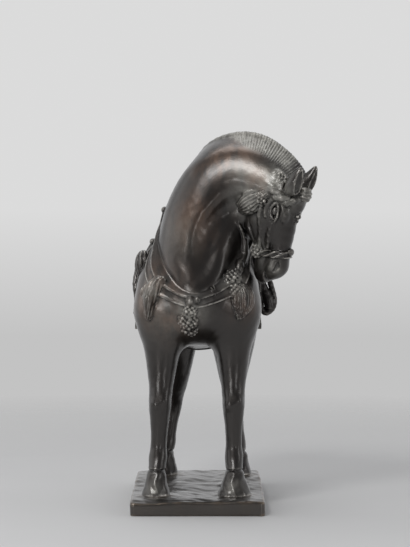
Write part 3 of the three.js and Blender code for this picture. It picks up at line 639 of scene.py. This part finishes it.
# Harness on the body
COLLAR = {"point": (0, -125, 252), "normal": (0, -0.768, 0.64)}
FITTINGS = (
    ((-58, 361, 4, 2), (-58, 361, 4.2, 5.6)), ((-36, 322, 4, 2), (-36, 322, 4.2, 15)),
    ((-57, 356, 2, 3.4), (-37, 329, 2, 9)),
)  # two pegs and the cord between them
COLLAR_EDGES = ((0, 4.8, 2.4), (3.9, 1.2, 3.8), (-4, 1.1, 3.3))  # offset, half width and height
TONGUE = {"x": -1, "tip": 257, "curve": 0.03}
BREECHING = {"point": (0, 78, 336), "normal": (0, 0.5, 0.87), "half_width": 4, "height": 2.4}
SADDLE = {
    "middle": 26, "cloth_half": 50, "cloth_bottom": 215, "cloth_height": 3.6, "widest": 262,
    "flare": 0.07,
}
FRONT = (0, -1, 0)


def laid(base, stations, outward):
    """Stations (x or y, z, radius, stand) seen from outside, laid on the surface: a ball of that
    radius at each, sunk until it stands that far out."""
    outward = np.array(outward, float)
    if outward[1]:
        starts = [(a, -170, z) for a, z, _, _ in stations]
    else:
        starts = [(outward[0] * 120, a, z) for a, z, _, _ in stations]
    found = reach(base, starts, -outward)
    return [(*(p + outward * (stand - r)), r) for p, (_, _, r, stand) in zip(found, stations)]


def tassel(base, stations, outward, ribs=16, depth=0.5, twist=0.05):
    """A ribbed tassel that lies on the surface."""
    chain = laid(base, stations, outward)
    return fluted(limb(chain, 4, 2), chain[0][:3], chain[-1][:3], ribs, depth, twist)


def rosette(base, x, z, radius, stand):
    """A raised ring of beads round a boss on the front."""
    boss = laid(base, [(x, z, radius * 0.8, stand)], FRONT)[0]
    centre = np.array(boss[:3])
    out = np.array(FRONT, float)
    side = np.cross(out, (0, 0, 1))
    beads = []
    for n in range(9):
        turn = 2 * math.pi * n / 9
        spot = centre + radius * 0.8 * (side * math.cos(turn) + np.array([0, 0, 1]) * math.sin(turn))
        beads.append(ellipsoid(spot + out * 0.25 * radius, (radius * 0.3,) * 3))
    return join(0.8, ellipsoid(centre, (radius * 0.8,) * 3), *beads)


def balls(base, places):
    """Plain balls on the front."""
    return join(1, *(ellipsoid(q[:3], (q[3],) * 3) for q in laid(base, places, FRONT)))


def beaded(base, place, radii, count, bead, outward=FRONT):
    """A cluster of beads on the surface."""
    return berries(laid(base, [place], outward)[0][:3], radii, count, bead)


def lock(x, y, z, _):
    """A small ribbed curl."""
    return fluted(ellipsoid((x, y, z), (3.8, 4.4, 6.4)), (x, y, z - 1), (x + 3, y, z + 5), 9, 0.5)


def chest_tassels(base):
    """The ribbed tassel and its curls at the right breast, the pendant, and the left tassel."""
    curls = laid(base, [
        (-56.5, 263, 4.4, 15), (-60.5, 266, 4.4, 14), (-64.5, 262, 4.4, 11), (-61, 257, 4.4, 12),
    ], FRONT)
    return [
        tassel(base, [
            (-44, 276, 5, 7), (-51, 269, 8.5, 11), (-56, 260, 8, 11), (-58.5, 250, 5.8, 9),
            (-58.5, 241, 4.6, 7), (-58.5, 232, 3.4, 5),
        ], FRONT, 11, 0.6, 0.15),
        rosette(base, -43, 276.5, 5.5, 8.5),
        *(lock(*place) for place in curls),
        beaded(base, (-58.5, 239, 5, 6), (5, 4, 7), 20, 1.7),
        balls(base, [(-8.3, 252.8, 6.4, 9.5), (-8.3, 252.8, 3.6, 12), (-0.2, 254.4, 4, 7.5)]),
        beaded(base, (-8.5, 242, 6, 8), (7, 6, 8), 34, 1.9),
        beaded(base, (-11, 229, 8, 9), (11.5, 7, 10), 60, 2),
        beaded(base, (-9, 218, 6, 7), (9, 5, 7), 30, 1.8),
        tassel(base, [
            (49, 264, 9, 9), (53, 255, 14.5, 10), (52.5, 246, 10, 8), (50, 234, 4, 5),
        ], FRONT, 26, 0.5, 0.03),
        beaded(base, (42, 279.5, 8, 9), (10, 7, 10), 54, 2.1),
        beaded(base, (45.5, 266, 6, 11), (5.5, 5, 7), 24, 1.9),
        balls(base, [(57.5, 265.5, 5, 9), (54, 270, 3.5, 7)]),
    ]


def flank_tassels(base, side):
    """A large bun behind the shoulder, and two tassels with knots of beads on the rump."""
    outward = (side, 0, 0)
    centre = np.array(laid(base, [(-48, 293.5, 10.5, 12.5)], outward)[0][:3])
    bun = ellipsoid(centre, (10.5, 14, 18.5))
    forms = [fluted(bun, centre + (0, 8, 18), centre - (0, 0, 18), 18, 0.6, 0.05)]
    for y, top in ((92, 306), (132, 290)):
        forms.append(tassel(base, [
            (y, top, 7, 5), (y, top - 9, 10, 8), (y, top - 20, 11, 8.5), (y, top - 32, 6, 4.5),
        ], outward, 18, 0.6, 0.08))
        forms.append(beaded(base, (y, top + 3, 5, 4), (5, 6.5, 6), 22, 1.8, outward))
    return forms


def tassels(base):
    return [*chest_tassels(base), *flank_tassels(base, -1), *flank_tassels(base, 1)]


def saddle(barrel):
    """Under its widest line the cloth hangs down more steeply than the barrel."""
    middle, half, bottom = SADDLE["middle"], SADDLE["cloth_half"], SADDLE["cloth_bottom"]

    def hanging(p):
        below = np.maximum(0, SADDLE["widest"] - p.z)
        lifted = Cloud(p.x, p.y, p.z + below * 0.7)
        return barrel(lifted) - SADDLE["cloth_height"] - below * SADDLE["flare"]

    hang = once(hanging)

    def edge(p):
        return np.maximum(np.abs(p.y - middle) - half, bottom - p.z)

    def cloth(p):
        return np.maximum(hang(p), edge(p))

    def rim(p):
        return np.maximum(np.maximum(hang(p) - 1.6, edge(p) - 1), -edge(p) - 4)

    def flap(p):
        sides = np.maximum(np.abs(p.y - middle) - 27, 258 - p.z)
        return np.maximum(barrel(p) - SADDLE["cloth_height"] - 3, sides)

    def arch(y, lean, top, half_width):
        stations = []
        for side in (-1, -0.72, 0, 0.72, 1):
            rise = 1 - side * side
            stations.append((side * half_width, y + lean * rise, top - 30 + 30 * rise ** 0.6, 6.5))
        return limb(stations, 6)

    seat = ellipsoid((0, middle, 340), (40, 38, 19))
    near = ((-110, middle - half - 4, bottom - 4), (110, middle + half + 4, 380))
    return [
        *(boxed(*near, part) for part in (cloth, rim, flap)),
        join(8, seat, arch(-8, -3, 356, 42), arch(60, 6, 360, 44)),
    ]


def stirrups(base):
    """The left stirrup hangs turned out, the right one lies flat on the cloth."""
    def lying(places):
        return reach(base, [(-120, y, z) for y, z in places], (1, 0, 0))

    def loop(points, radius):
        return limb([(*p, radius) for p in curve(points, 20, closed=True)], 1)

    turned = ((82, 287), (88, 277), (93, 262), (96, 247), (93, 237), (85, 232), (79, 240), (79, 262))
    outward = loop([(x, 14, z) for x, z in turned], 3.4)
    flat = lying([(14, 290), (24, 270), (28, 250), (22, 234), (6, 234), (0, 250), (4, 270)])
    tread = limb([(78, 14, 280, 4.5), (82, 14, 264, 5), (88, 14, 250, 6), (90, 14, 240, 6)], 2, 2)
    top, bottom = lying([(14, 320), (14, 288)])
    return [
        outward, loop(flat - (1.6, 0, 0), 3.2), tread,
        taper((76, 14, 318), (84, 14, 286), 3.6, 3.2), taper(top, bottom, 3.6, 3.4),
    ]


def tail():
    return limb([
        (4, 148, 320, 14), (4, 168, 323, 12), (5, 183, 306, 12.5), (6, 186, 280, 12), (6, 181, 257, 9),
        (6, 175, 240, 4.5),
    ], 3, 3)


def straps(bare):
    """Breast collar with raised edges, its roll, buckles and keepers, breeching and girth."""
    def reaches(p):
        return np.maximum(p.y + 24, p.z - 366)

    def edge(offset, half_width, height):
        normal = unit(COLLAR["normal"])
        point = np.array(COLLAR["point"]) + normal * offset
        return band(bare, point, normal, half_width, height, reaches, 1)

    fittings = [limb(laid(bare, stations, (-1, 0, 0)), 1) for stations in FITTINGS]
    keepers = [
        limb(laid(bare, [(x - 2.2, z + 4, 1.2, 3.6), (x + 2.2, z - 4, 1.2, 3.6)], FRONT))
        for x, z in ((18.6, 264.4), (21.4, 266.2))
    ]
    return [
        *(edge(*sizes) for sizes in COLLAR_EDGES),
        band(bare, **BREECHING, within=lambda p: 60 - p.y),
        band(bare, (0, 8, 0), (0, 1, 0), 5, 1.6, lambda p: p.z - 230),
        *keepers, *rein(bare), *fittings,
    ]


def rein(base):
    """A cord from the jaw down the neck, then a flat strap that ends in a bell."""
    cord = laid(base, [
        (47, 350, 1.6, -1), (51, 341, 1.7, 2.6), (54, 334, 1.8, 3.2), (57, 322, 2, 3.4),
    ], FRONT)
    strap = laid(base, [(57, 324, 4, 5), (57, 308, 4.2, 5), (54, 300, 4, 5)], FRONT)
    bell = laid(base, [(50.5, 297, 4.6, 6), (50, 291, 5.6, 6)], FRONT)
    return [limb(cord, 1, 2), limb(strap, 1, 2), limb(bell, 1, 2)]


def tucked(base):
    """The neck ends in a rounded tongue that swells over the breast collar, in a soft hollow."""
    normal = unit(COLLAR["normal"])
    offset = normal @ np.array(COLLAR["point"])

    def field(p):
        d = base(p)
        if far(d) or p.low[1] > -20 or p.high[2] < 240:
            return d
        aside = p.x - TONGUE["x"]
        steep = np.hypot(1, 2 * TONGUE["curve"] * aside)
        above = (p.z - TONGUE["tip"] - TONGUE["curve"] * aside ** 2) / steep
        side = normal[1] * p.y + normal[2] * p.z - offset
        hollow = np.exp(-((above + 4.5) / 5) ** 2) * smoothstep(side, 4.5, 7)
        swell = np.exp(-((above - 12) / 11) ** 2)
        front = smoothstep(-p.y, 20, 60) * (1 - smoothstep(p.z, 300, 335))
        return d + front * (3.4 * hollow - 0.9 * swell)

    return field


PLANE = {"centre": (55, -117, 405), "normal": (-0.212, -0.919, 0.331), "depth": 2.2, "edge": 8}
UNEVEN = 0.13


def worked(base):
    """The clay was planed where the arch is broad, and its surface was left slightly uneven."""
    def field(p):
        d = base(p)
        if far(d):
            return d
        across = np.sin(0.42 * p.x + 1.7 * np.sin(0.13 * p.z))
        upward = np.sin(0.31 * p.z + 1.5 * np.sin(0.17 * p.y + 0.1 * p.x))
        d = d + UNEVEN * (across * upward)
        if p.high[2] < 370 or p.low[1] > -80:
            return d
        offsets = (a - c for a, c in zip((p.x, p.y, p.z), PLANE["centre"]))
        side = sum(n * a for n, a in zip(PLANE["normal"], offsets)) + PLANE["depth"]
        return cut(PLANE["edge"], d, side)

    return field


def horse_field():
    legs = [foreleg(-1, -50), foreleg(1, 44.5), hindleg(-29, -43), hindleg(45, 52.5)]
    barrel = once(trunk())
    body = join(13, barrel, *legs)
    necked = join(16, body, join(13, limb(NECK, 3, 4), limb(THROAT, 4, 3)))
    neck = join(8, carve(14, necked, furrow(necked)), limb(WINDPIPE, 3, 3))
    bare = once(worked(tucked(neck)))
    haired = join(5, maned(bare), tail())
    saddled = join(1.5, haired, *saddle(barrel))
    dressed = join(1.2, saddled, *straps(bare), *stirrups(saddled), *tassels(bare))
    bridled = boxed((30, -165, 262), (155, -60, 420), placed(bridled_head(), *head_axes()))
    return join(2.5, dressed, bridled)


# Meshing

BLOCK = 12  # cells along a block's side
NEAR = 1.1  # how near the surface may be to a block's middle, in block sides


def lattice(*axes):
    """The grid points of some axes, as one flat array for each axis."""
    return (a.ravel() for a in np.meshgrid(*axes, indexing="ij"))


def sampled(field, low, high, step):
    """The field on a grid. Blocks that the surface can't cross only get its sign."""
    count = [math.ceil((h - l) / step / BLOCK) * BLOCK for l, h in zip(low, high)]
    grid = np.ones([n + 1 for n in count], np.float32)
    axes = [(l + step * np.arange(n + 1)).astype(np.float32) for l, n in zip(low, count)]
    middle = field(Cloud(*lattice(*(axis[BLOCK // 2::BLOCK] for axis in axes))))
    starts = np.stack(list(lattice(*(range(0, n, BLOCK) for n in count))), -1)
    near = np.abs(middle) < NEAR * BLOCK * step
    for start in starts[(middle < 0) & ~near]:
        grid[tuple(slice(n, n + BLOCK + 1) for n in start)] = -1
    for start in starts[near]:
        spans = [slice(n, n + BLOCK + 1) for n in start]
        values = field(Cloud(*lattice(*(axis[s] for axis, s in zip(axes, spans)))))
        grid[tuple(spans)] = np.reshape(values, [BLOCK + 1] * 3) if np.ndim(values) else values
    return grid


def surface_net(grid, low, step):
    """One point in each cell that the surface crosses, and a quad across each crossed grid edge."""
    inside = grid < 0
    units = np.eye(3, dtype=int)
    corners = [inside[a:a - 1 or None, b:b - 1 or None, c:c - 1 or None]
               for a in (0, 1) for b in (0, 1) for c in (0, 1)]
    some, every = np.logical_or.reduce(corners), np.logical_and.reduce(corners)
    cells = np.argwhere(some & ~every)
    number = np.full(some.shape, -1, np.int32)
    number[tuple(cells.T)] = np.arange(len(cells))
    total, hits = np.zeros((len(cells), 3)), np.zeros((len(cells), 1))
    for axis in range(3):
        others = [units[n] for n in range(3) if n != axis]
        for a, b in ((0, 0), (0, 1), (1, 0), (1, 1)):
            start = cells + a * others[0] + b * others[1]
            d0 = grid[tuple(start.T)]
            d1 = grid[tuple((start + units[axis]).T)]
            crossed = (d0 < 0) != (d1 < 0)
            share = np.where(crossed, d0 / np.where(crossed, d0 - d1, 1), 0)
            total[crossed] += (start + share[:, None] * units[axis])[crossed]
            hits[crossed] += 1
    points = total / hits * step + low
    quads = []
    for axis in range(3):
        first, second = np.delete(inside, -1, axis), np.delete(inside, 0, axis)
        start = np.argwhere(first != second)
        others = [n for n in range(3) if n != axis]
        last = np.array(some.shape)
        keep = np.all([(start[:, n] > 0) & (start[:, n] < last[n]) for n in others], axis=0)
        start = start[keep]
        e1, e2 = (units[n] for n in others)
        ring = np.stack([number[tuple((start - shift).T)] for shift in (0 * e1, e1, e1 + e2, e2)], 1)
        flip = first[tuple(start.T)] ^ (axis == 1)
        quads.append(np.where(flip[:, None], ring, ring[:, ::-1]))
    return points, np.concatenate(quads)


def added(name, data):
    obj = bpy.data.objects.new(name, data)
    bpy.context.scene.collection.objects.link(obj)
    return obj


def new_object(name, points, faces):
    """faces is an array with one face a row."""
    mesh = bpy.data.meshes.new(name)
    mesh.vertices.add(len(points))
    mesh.vertices.foreach_set("co", np.asarray(points, np.float32).ravel())
    sides = faces.shape[1]
    mesh.loops.add(faces.size)
    mesh.loops.foreach_set("vertex_index", faces.ravel().astype(np.int32))
    mesh.polygons.add(len(faces))
    mesh.polygons.foreach_set("loop_start", np.arange(0, faces.size, sides, dtype=np.int32))
    mesh.polygons.foreach_set("use_smooth", np.ones(len(faces), bool))
    mesh.update()
    mesh.validate()
    return added(name, mesh)


def regions(points, size=14.0):
    """Indices of the points in turn, a small region of space at a time."""
    keys = np.floor(points / size).astype(np.int64)
    keys = (keys[:, 0] * 4096 + keys[:, 1]) * 4096 + keys[:, 2]
    order = np.argsort(keys, kind="stable")
    return np.split(order, np.flatnonzero(np.diff(keys[order])) + 1)


def measured(field, points, spread=0.35):
    """The field's value and its direction of growth at each point."""
    corners = np.array([(1, 1, 1), (1, -1, -1), (-1, 1, -1), (-1, -1, 1)], float)
    value, growth = np.zeros(len(points)), np.zeros((len(points), 3))
    for near in regions(points):
        around = (points[near][None] + spread * corners[:, None]).reshape(-1, 3)
        d = np.broadcast_to(field(Cloud(*around.T)), len(around)).reshape(4, -1)
        value[near] = d.mean(0)
        growth[near] = (d[:, :, None] * corners[:, None]).sum(0)
    length = np.linalg.norm(growth, axis=1, keepdims=True)
    return value, growth / np.maximum(length, 1e-9)


def sculpted(name, field, low, high, step, triangles):
    """A mesh of a field: finely meshed, thinned, then set back on the surface."""
    points, quads = surface_net(sampled(field, low, high, step), low, step)
    obj = new_object(name, points, quads)
    thin = obj.modifiers.new("thin", "DECIMATE")
    thin.ratio = min(1, triangles / (2 * len(quads)))
    thin.use_collapse_triangulate = True
    bpy.context.view_layer.objects.active = obj
    bpy.ops.object.modifier_apply(modifier=thin.name)
    points = np.empty((len(obj.data.vertices), 3), np.float32)
    obj.data.vertices.foreach_get("co", points.ravel())
    points = points.astype(float)
    value, normals = measured(field, points)
    points -= normals * np.clip(value, -0.6, 0.6)[:, None]
    value, normals = measured(field, points)
    obj.data.vertices.foreach_set("co", (points * MM).astype(np.float32).ravel())
    obj.data.normals_split_custom_set_from_vertices(normals.tolist())
    obj.data.update()
    return obj, points, normals


def relief(mesh, points, normals):
    """How hollow or proud each point is: negative in grooves, positive on ridges."""
    ends = np.empty(len(mesh.edges) * 2, np.int32)
    mesh.edges.foreach_get("vertices", ends)
    a, b = ends.reshape(-1, 2).T
    along = points[b] - points[a]
    bend = ((normals[b] - normals[a]) * along).sum(1) / np.maximum((along ** 2).sum(1), 1e-4)
    total, hits = np.zeros(len(points)), np.zeros(len(points))
    for end in (a, b):
        np.add.at(total, end, bend)
        np.add.at(hits, end, 1)
    rough = total / np.maximum(hits, 1)
    total[:] = rough
    for end, other in ((a, b), (b, a)):
        np.add.at(total, end, rough[other])
    return total / (hits + 1)


def add_attribute(mesh, name, values):
    mesh.attributes.new(name, "FLOAT", "POINT").data.foreach_set("value", values.astype(np.float32))


# The plate

RIPPLE = 1.1
FEET = [(-50, -94), (44.5, -94), (-43, 108), (53, 108)]


def from_feet(x, y):
    return np.min([np.hypot(x - fx, y - fy) for fx, fy in FEET], axis=0)


def ground(x, y):
    """Low ripples, thicker towards the left front, level under the hooves, as in the solid."""
    level = smoothstep(from_feet(x, y), 36, 54)
    ripple = np.sin(y / 7.3 + 1.3 * np.sin(x / 21)) + 0.6 * np.sin(x / 13 - y / 17)
    return SOLE - 0.3 + level * (RIPPLE * ripple + x / 90)


def plate_field():
    def field(p):
        mound = 2.6 * (1 - smoothstep(from_feet(p.x, p.y - 2), 13, 30))
        small = 0.35 * np.sin(p.y / 3.1 + 2 * np.sin(p.x / 9)) * np.sin(p.x / 5.2 + p.y / 11)
        top = p.z - ground(p.x, p.y) - mound - small
        wander = 0.5 * np.sin(p.x / 19 + p.z / 9) + 0.5 * np.sin(p.y / 23 + 2)
        side_x = np.abs(p.x) - PLATE_WIDTH / 2 + wander * 0.6
        side_y = np.abs(p.y) - PLATE_LENGTH / 2 + wander * 0.6
        sides = cut(6, side_x, side_y)
        return cut(1.6, cut(3.6, top * 0.9, sides), -p.z)

    return field


def muddied(points):
    """Warmer patina round the hooves and along the edges of the plate."""
    x, y, z = points.T
    edge = np.maximum(np.abs(x) - PLATE_WIDTH / 2, np.abs(y) - PLATE_LENGTH / 2)
    round_feet = 1 - smoothstep(from_feet(x, y), 16, 34)
    return 0.1 + 0.7 * smoothstep(z, 12, 17) * np.maximum(round_feet, smoothstep(edge, -7, -1))


# Materials

class Tree:
    """The nodes of a material or world, with the kinds that are needed here."""

    def __init__(self, owner):
        owner.use_nodes = True
        self.nodes, self.links = owner.node_tree.nodes, owner.node_tree.links

    def new(self, kind):
        return self.nodes.new("ShaderNode" + kind)

    def put(self, value, socket):
        """Gives a socket a colour, a number or another node's output."""
        if isinstance(value, tuple):
            socket.default_value = (*value, 1)
        elif isinstance(value, float):
            socket.default_value = value
        else:
            self.links.new(value, socket)

    def place(self, kind="Object"):
        return self.new("TexCoord").outputs[kind]

    def attribute(self, name):
        node = self.new("Attribute")
        node.attribute_name = name
        return node.outputs["Fac"]

    def vector(self, operation, value):
        node = self.new("VectorMath")
        node.operation = operation
        self.put(value, node.inputs[0])
        return node

    def noise(self, vector, scale, detail):
        node = self.new("TexNoise")
        for name, number in (("Scale", scale), ("Detail", detail), ("Roughness", 0.55)):
            node.inputs[name].default_value = number
        self.put(vector, node.inputs["Vector"])
        return node.outputs["Fac"]

    def ranged(self, value, low, high, to_low=0.0, to_high=1.0):
        node = self.new("MapRange")
        names = ("From Min", "From Max", "To Min", "To Max")
        for name, number in zip(names, (low, high, to_low, to_high)):
            node.inputs[name].default_value = number
        self.put(value, node.inputs["Value"])
        return node.outputs["Result"]

    def mixed(self, share, a, b):
        node = self.new("Mix")
        node.data_type = "RGBA"
        for number, value in ((0, share), (6, a), (7, b)):
            self.put(value, node.inputs[number])
        return node.outputs[2]

    def combined(self, operation, a, b):
        node = self.new("Math")
        node.operation = operation
        self.put(a, node.inputs[0])
        self.put(b, node.inputs[1])
        return node.outputs[0]


# The pale colour of the bloom, also used for painted sheen and painted highlights.
BLOOM_AND_PAINTED_LIGHT_COLOUR = (0.39, 0.38, 0.34)


def bronze(name, dark, brown, rubbed_and_glints):
    """Brown where it is warm, paler under bloom and where sheen and highlights are painted on, dark in
    hollows, and rubbed bright on ridges, which on the horse also serves as painted glints.
    """
    material = bpy.data.materials.new(name)
    tree = Tree(material)
    shader = tree.nodes["Principled BSDF"].inputs
    place = tree.place()
    clouds = tree.noise(place, 14, 5)
    grain = tree.noise(place, 900, 3)
    lumps = tree.noise(place, 120, 3)
    upright = tree.vector("MULTIPLY", place)
    upright.inputs[1].default_value = (1, 1, 0.3)
    streaks = tree.noise(upright.outputs[0], 60, 4)
    warm = tree.combined("MULTIPLY", tree.attribute("warmth"), tree.ranged(streaks, 0.36, 0.6))
    # Pale bloom, together with the painted sheen and painted highlights that the same attribute carries.
    patches = tree.ranged(lumps, 0.3, 0.65, 0.45, 0.95)
    pale = tree.combined("MULTIPLY", tree.attribute("bloom_and_painted_light"), patches)
    shape = tree.attribute("relief")
    hollow = tree.ranged(shape, -0.02, -0.25, 0.0, 0.75)
    # Rubbed bright on ridges: wear, and on the horse also painted glints.
    proud = tree.ranged(shape, 0.08, 0.32, 0.0, 0.9)
    wear_and_sheen = tree.combined("MULTIPLY", proud, tree.ranged(lumps, 0.3, 0.7))
    colour = tree.mixed(pale, tree.mixed(warm, dark, brown), BLOOM_AND_PAINTED_LIGHT_COLOUR)
    colour = tree.mixed(hollow, colour, tuple(0.35 * c for c in dark))
    tree.put(tree.mixed(wear_and_sheen, colour, rubbed_and_glints), shader["Base Color"])
    gloss = tree.combined("ADD", tree.ranged(clouds, 0.3, 0.7, 0.3, 0.42),
                          tree.ranged(grain, 0.3, 0.7, -0.03, 0.05))
    gloss = tree.combined("ADD", gloss, tree.ranged(pale, 0.0, 1.0, 0.0, 0.2))
    tree.put(gloss, shader["Roughness"])
    dull = tree.combined("MAXIMUM", pale, tree.combined("MULTIPLY", warm, 0.7))
    tree.put(tree.ranged(dull, 0.0, 1.0, 0.9, 0.35), shader["Metallic"])
    shader["Coat Weight"].default_value = 0.8
    shader["Coat Roughness"].default_value = 0.24
    bump = tree.new("Bump")
    bump.inputs["Strength"].default_value = 0.25
    bump.inputs["Distance"].default_value = 0.0003
    tree.put(tree.combined("ADD", grain, lumps), bump.inputs["Height"])
    tree.put(bump.outputs["Normal"], shader["Normal"])
    return material


FLOOR_COLOURS = (0.66, 0.66, 0.66), (0.70, 0.70, 0.70)
FLOOR_FADE = (0.5, 1.5)  # metres from the middle, over which the floor goes over into the backdrop


def pale_floor():
    material = bpy.data.materials.new("pale_floor")
    tree = Tree(material)
    shader = tree.nodes["Principled BSDF"]
    place = tree.place()
    tree.put(tree.mixed(tree.noise(place, 3, 3), *FLOOR_COLOURS), shader.inputs["Base Color"])
    shader.inputs["Roughness"].default_value = 0.75
    clear = tree.new("BsdfTransparent")
    mix = tree.new("MixShader")
    distance = tree.vector("LENGTH", place).outputs["Value"]
    for n, value in enumerate((tree.ranged(distance, *FLOOR_FADE), shader.outputs[0], clear.outputs[0])):
        tree.put(value, mix.inputs[n])
    tree.put(mix.outputs[0], tree.nodes["Material Output"].inputs["Surface"])
    return material


# Where the patina varies

def nearness(points, spots):
    """1 at the middle of any of the spots (centre, size), falling off softly round it."""
    shares = [np.exp(-((points - centre) ** 2).sum(1) / size ** 2) for centre, size in spots]
    return np.max(shares, axis=0)


def warm_places(points):
    """Worn to a warm brown: soft spots on the crest, neck and shoulders."""
    return nearness(points, [
        ((50, -100, 434), 26), ((22, -105, 425), 30), ((69, -120, 395), 17), ((-5, -125, 350), 34),
        ((-50, -110, 260), 36), ((60, -115, 252), 20), ((-30, -120, 230), 26),
    ])


def where_bloom_and_painted_light(points):
    """A pale greenish bloom on the mane, and a paler worn bloom on the ornaments, made brighter there as
    painted light where the key light falls. Painted sheen on the left of the chest and neck, and painted
    highlights on the arch of the neck, the muzzle and the hoof fronts, those on the hooves partly dust.
    """
    x, _, z = points.T
    pivot_x, pivot_z = MANE["pivot"]
    edge = 80 - 17 * smoothstep(x, 35, 65)
    on_mane = smoothstep(np.hypot(x - pivot_x, z - pivot_z) - edge, 0, 12)
    on_mane = on_mane * smoothstep(z - 1.3 * np.maximum(x - 85, 0), 366, 390)
    # Ornaments: paler worn bloom, and painted light where the key light catches them.
    ornaments = [
        ((91, -118, 395), 21), ((62, -110, 374), 22), ((100, -130, 378), 17), ((128, -127, 380), 11),
        ((71, -98, 312), 12), ((-9, -122, 240), 17), ((-54, -108, 265), 14), ((46, -110, 272), 14),
    ]
    # Painted sheen: pale patches on the left of the chest and neck in place of reflected light.
    wear_and_sheen = [((-38, -115, 235), 34), ((-20, -110, 330), 24)]
    # Painted highlights: pale spots on the arch of the neck, the muzzle and the hoof fronts, those on the
    # hooves partly dust.
    painted_highlights = [((57, -117, 404), 19), ((-51, -113, 30), 10), ((43.5, -113, 30), 10), ((88, -110, 290), 12)]
    return np.max([
        on_mane, 0.85 * nearness(points, ornaments), 0.22 * nearness(points, wear_and_sheen),
        0.45 * nearness(points, painted_highlights),
    ], axis=0)


# The pieces

MODEL_LOW = (-100, -162, SOLE - 2.2 * STEP)
MODEL_HIGH = (156, 206, 472)
PLATE_SPACE = 3
PLATE_CEILING = 26


def finished(name, field, low, high, triangles, material, warmth, bloom_and_painted_light=None):
    """A sculpted piece with its material, and the attributes that the material reads."""
    piece, points, normals = sculpted(name, field, np.array(low, float), high, STEP, triangles)
    add_attribute(piece.data, "relief", relief(piece.data, points, normals))
    add_attribute(piece.data, "warmth", warmth(points))
    if bloom_and_painted_light:
        add_attribute(piece.data, "bloom_and_painted_light", bloom_and_painted_light(points))
    piece.data.materials.append(material)
    return piece


# On the horse the pale ridge colour is partly rubbed wear and partly painted glints.
dark_bronze = bronze("dark_bronze", (0.042, 0.037, 0.034), (0.14, 0.085, 0.057), (0.58, 0.55, 0.50))
horse = finished("horse_bronze", horse_field(), MODEL_LOW, MODEL_HIGH, HORSE_TRIANGLES, dark_bronze,
                 warm_places, where_bloom_and_painted_light)
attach(horse, "root")
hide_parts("horse")

worn_bronze = bronze("plate_bronze", (0.075, 0.067, 0.060), (0.11, 0.080, 0.055), (0.32, 0.24, 0.16))
across, along = PLATE_WIDTH / 2 + PLATE_SPACE, PLATE_LENGTH / 2 + PLATE_SPACE
plate = finished("plate_bronze", plate_field(), (-across, -along, -PLATE_SPACE),
                 (across, along, PLATE_CEILING), PLATE_TRIANGLES, worn_bronze, muddied)
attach(plate, "root")
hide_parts("ground_plate")


# Floor, light and camera

bpy.ops.mesh.primitive_plane_add(size=12)
floor = bpy.context.object
floor.name = "floor"
floor.data.materials.append(pale_floor())

BACKDROP = (0.71, 0.71, 0.71)
BACKDROP_LOW = (0.545, 0.545, 0.545)
ROOM_DARK = (0.10, 0.10, 0.105)
ROOM_PALE = (0.66, 0.665, 0.675)


def studio_world():
    """A pale backdrop, and a darker room on the side that the front of the figure reflects."""
    made = bpy.data.worlds.new("studio")
    tree = Tree(made)
    parts = tree.new("SeparateXYZ")
    tree.put(tree.place("Generated"), parts.inputs[0])
    depth = tree.ranged(parts.outputs["Y"], -0.9, 0.6)
    ceiling = tree.ranged(parts.outputs["Z"], 0.35, 0.95, 0.0, 0.35)
    room = tree.mixed(ceiling, tree.mixed(depth, ROOM_DARK, ROOM_PALE), ROOM_DARK)
    rise = tree.ranged(parts.outputs["Z"], -0.06, 0.0)
    backdrop = tree.mixed(rise, BACKDROP_LOW, BACKDROP)
    seen = tree.new("LightPath").outputs["Is Camera Ray"]
    background = tree.nodes["Background"].inputs
    tree.put(tree.mixed(seen, room, backdrop), background["Color"])
    background["Strength"].default_value = 1
    return made


bpy.context.scene.world = studio_world()
bpy.context.scene.view_settings.view_transform = "Standard"


def soft_box(name, place, target, width, height, watts):
    light = bpy.data.lights.new(name, "AREA")
    light.shape = "RECTANGLE"
    light.size, light.size_y = width, height
    light.energy = watts
    obj = added(name, light)
    obj.location = place
    toward = np.array(target, float) - place
    obj.rotation_euler = (
        math.pi / 2 + math.atan2(toward[2], math.hypot(toward[0], toward[1])),
        0,
        math.atan2(toward[1], toward[0]) - math.pi / 2,
    )
    return obj


soft_box("key", (-0.72, -1.55, 1.7), (0, 0, 0.32), 0.6, 0.5, 14.5)
soft_box("low", (-0.85, -1.8, 0.24), (0, 0, 0.05), 0.5, 0.3, 3.8)
soft_box("front", (1.0, -2.1, 0.14), (0, 0, 0.05), 0.3, 0.3, 1.9)
soft_box("left", (-2.4, -0.2, 1.2), (0, 0, 0.25), 2.7, 2.1, 12)
soft_box("right", (1.9, -0.8, 0.6), (0, 0, 0.25), 0.5, 0.8, 2.6)
soft_box("top", (-0.2, 0.4, 2.1), (0, 0, 0.3), 1.2, 1.2, 7)

LENS, SENSOR = 137.9, 36  # mm
CAMERA_PLACE = (0.009, -2.609, 0.361)
CAMERA_PITCH = -1.737  # degrees

camera = added("camera", bpy.data.cameras.new("camera"))
camera.data.lens = LENS
camera.data.sensor_width = SENSOR
camera.location = CAMERA_PLACE
camera.rotation_euler = (math.radians(90 + CAMERA_PITCH), 0, 0)
bpy.context.scene.camera = camera
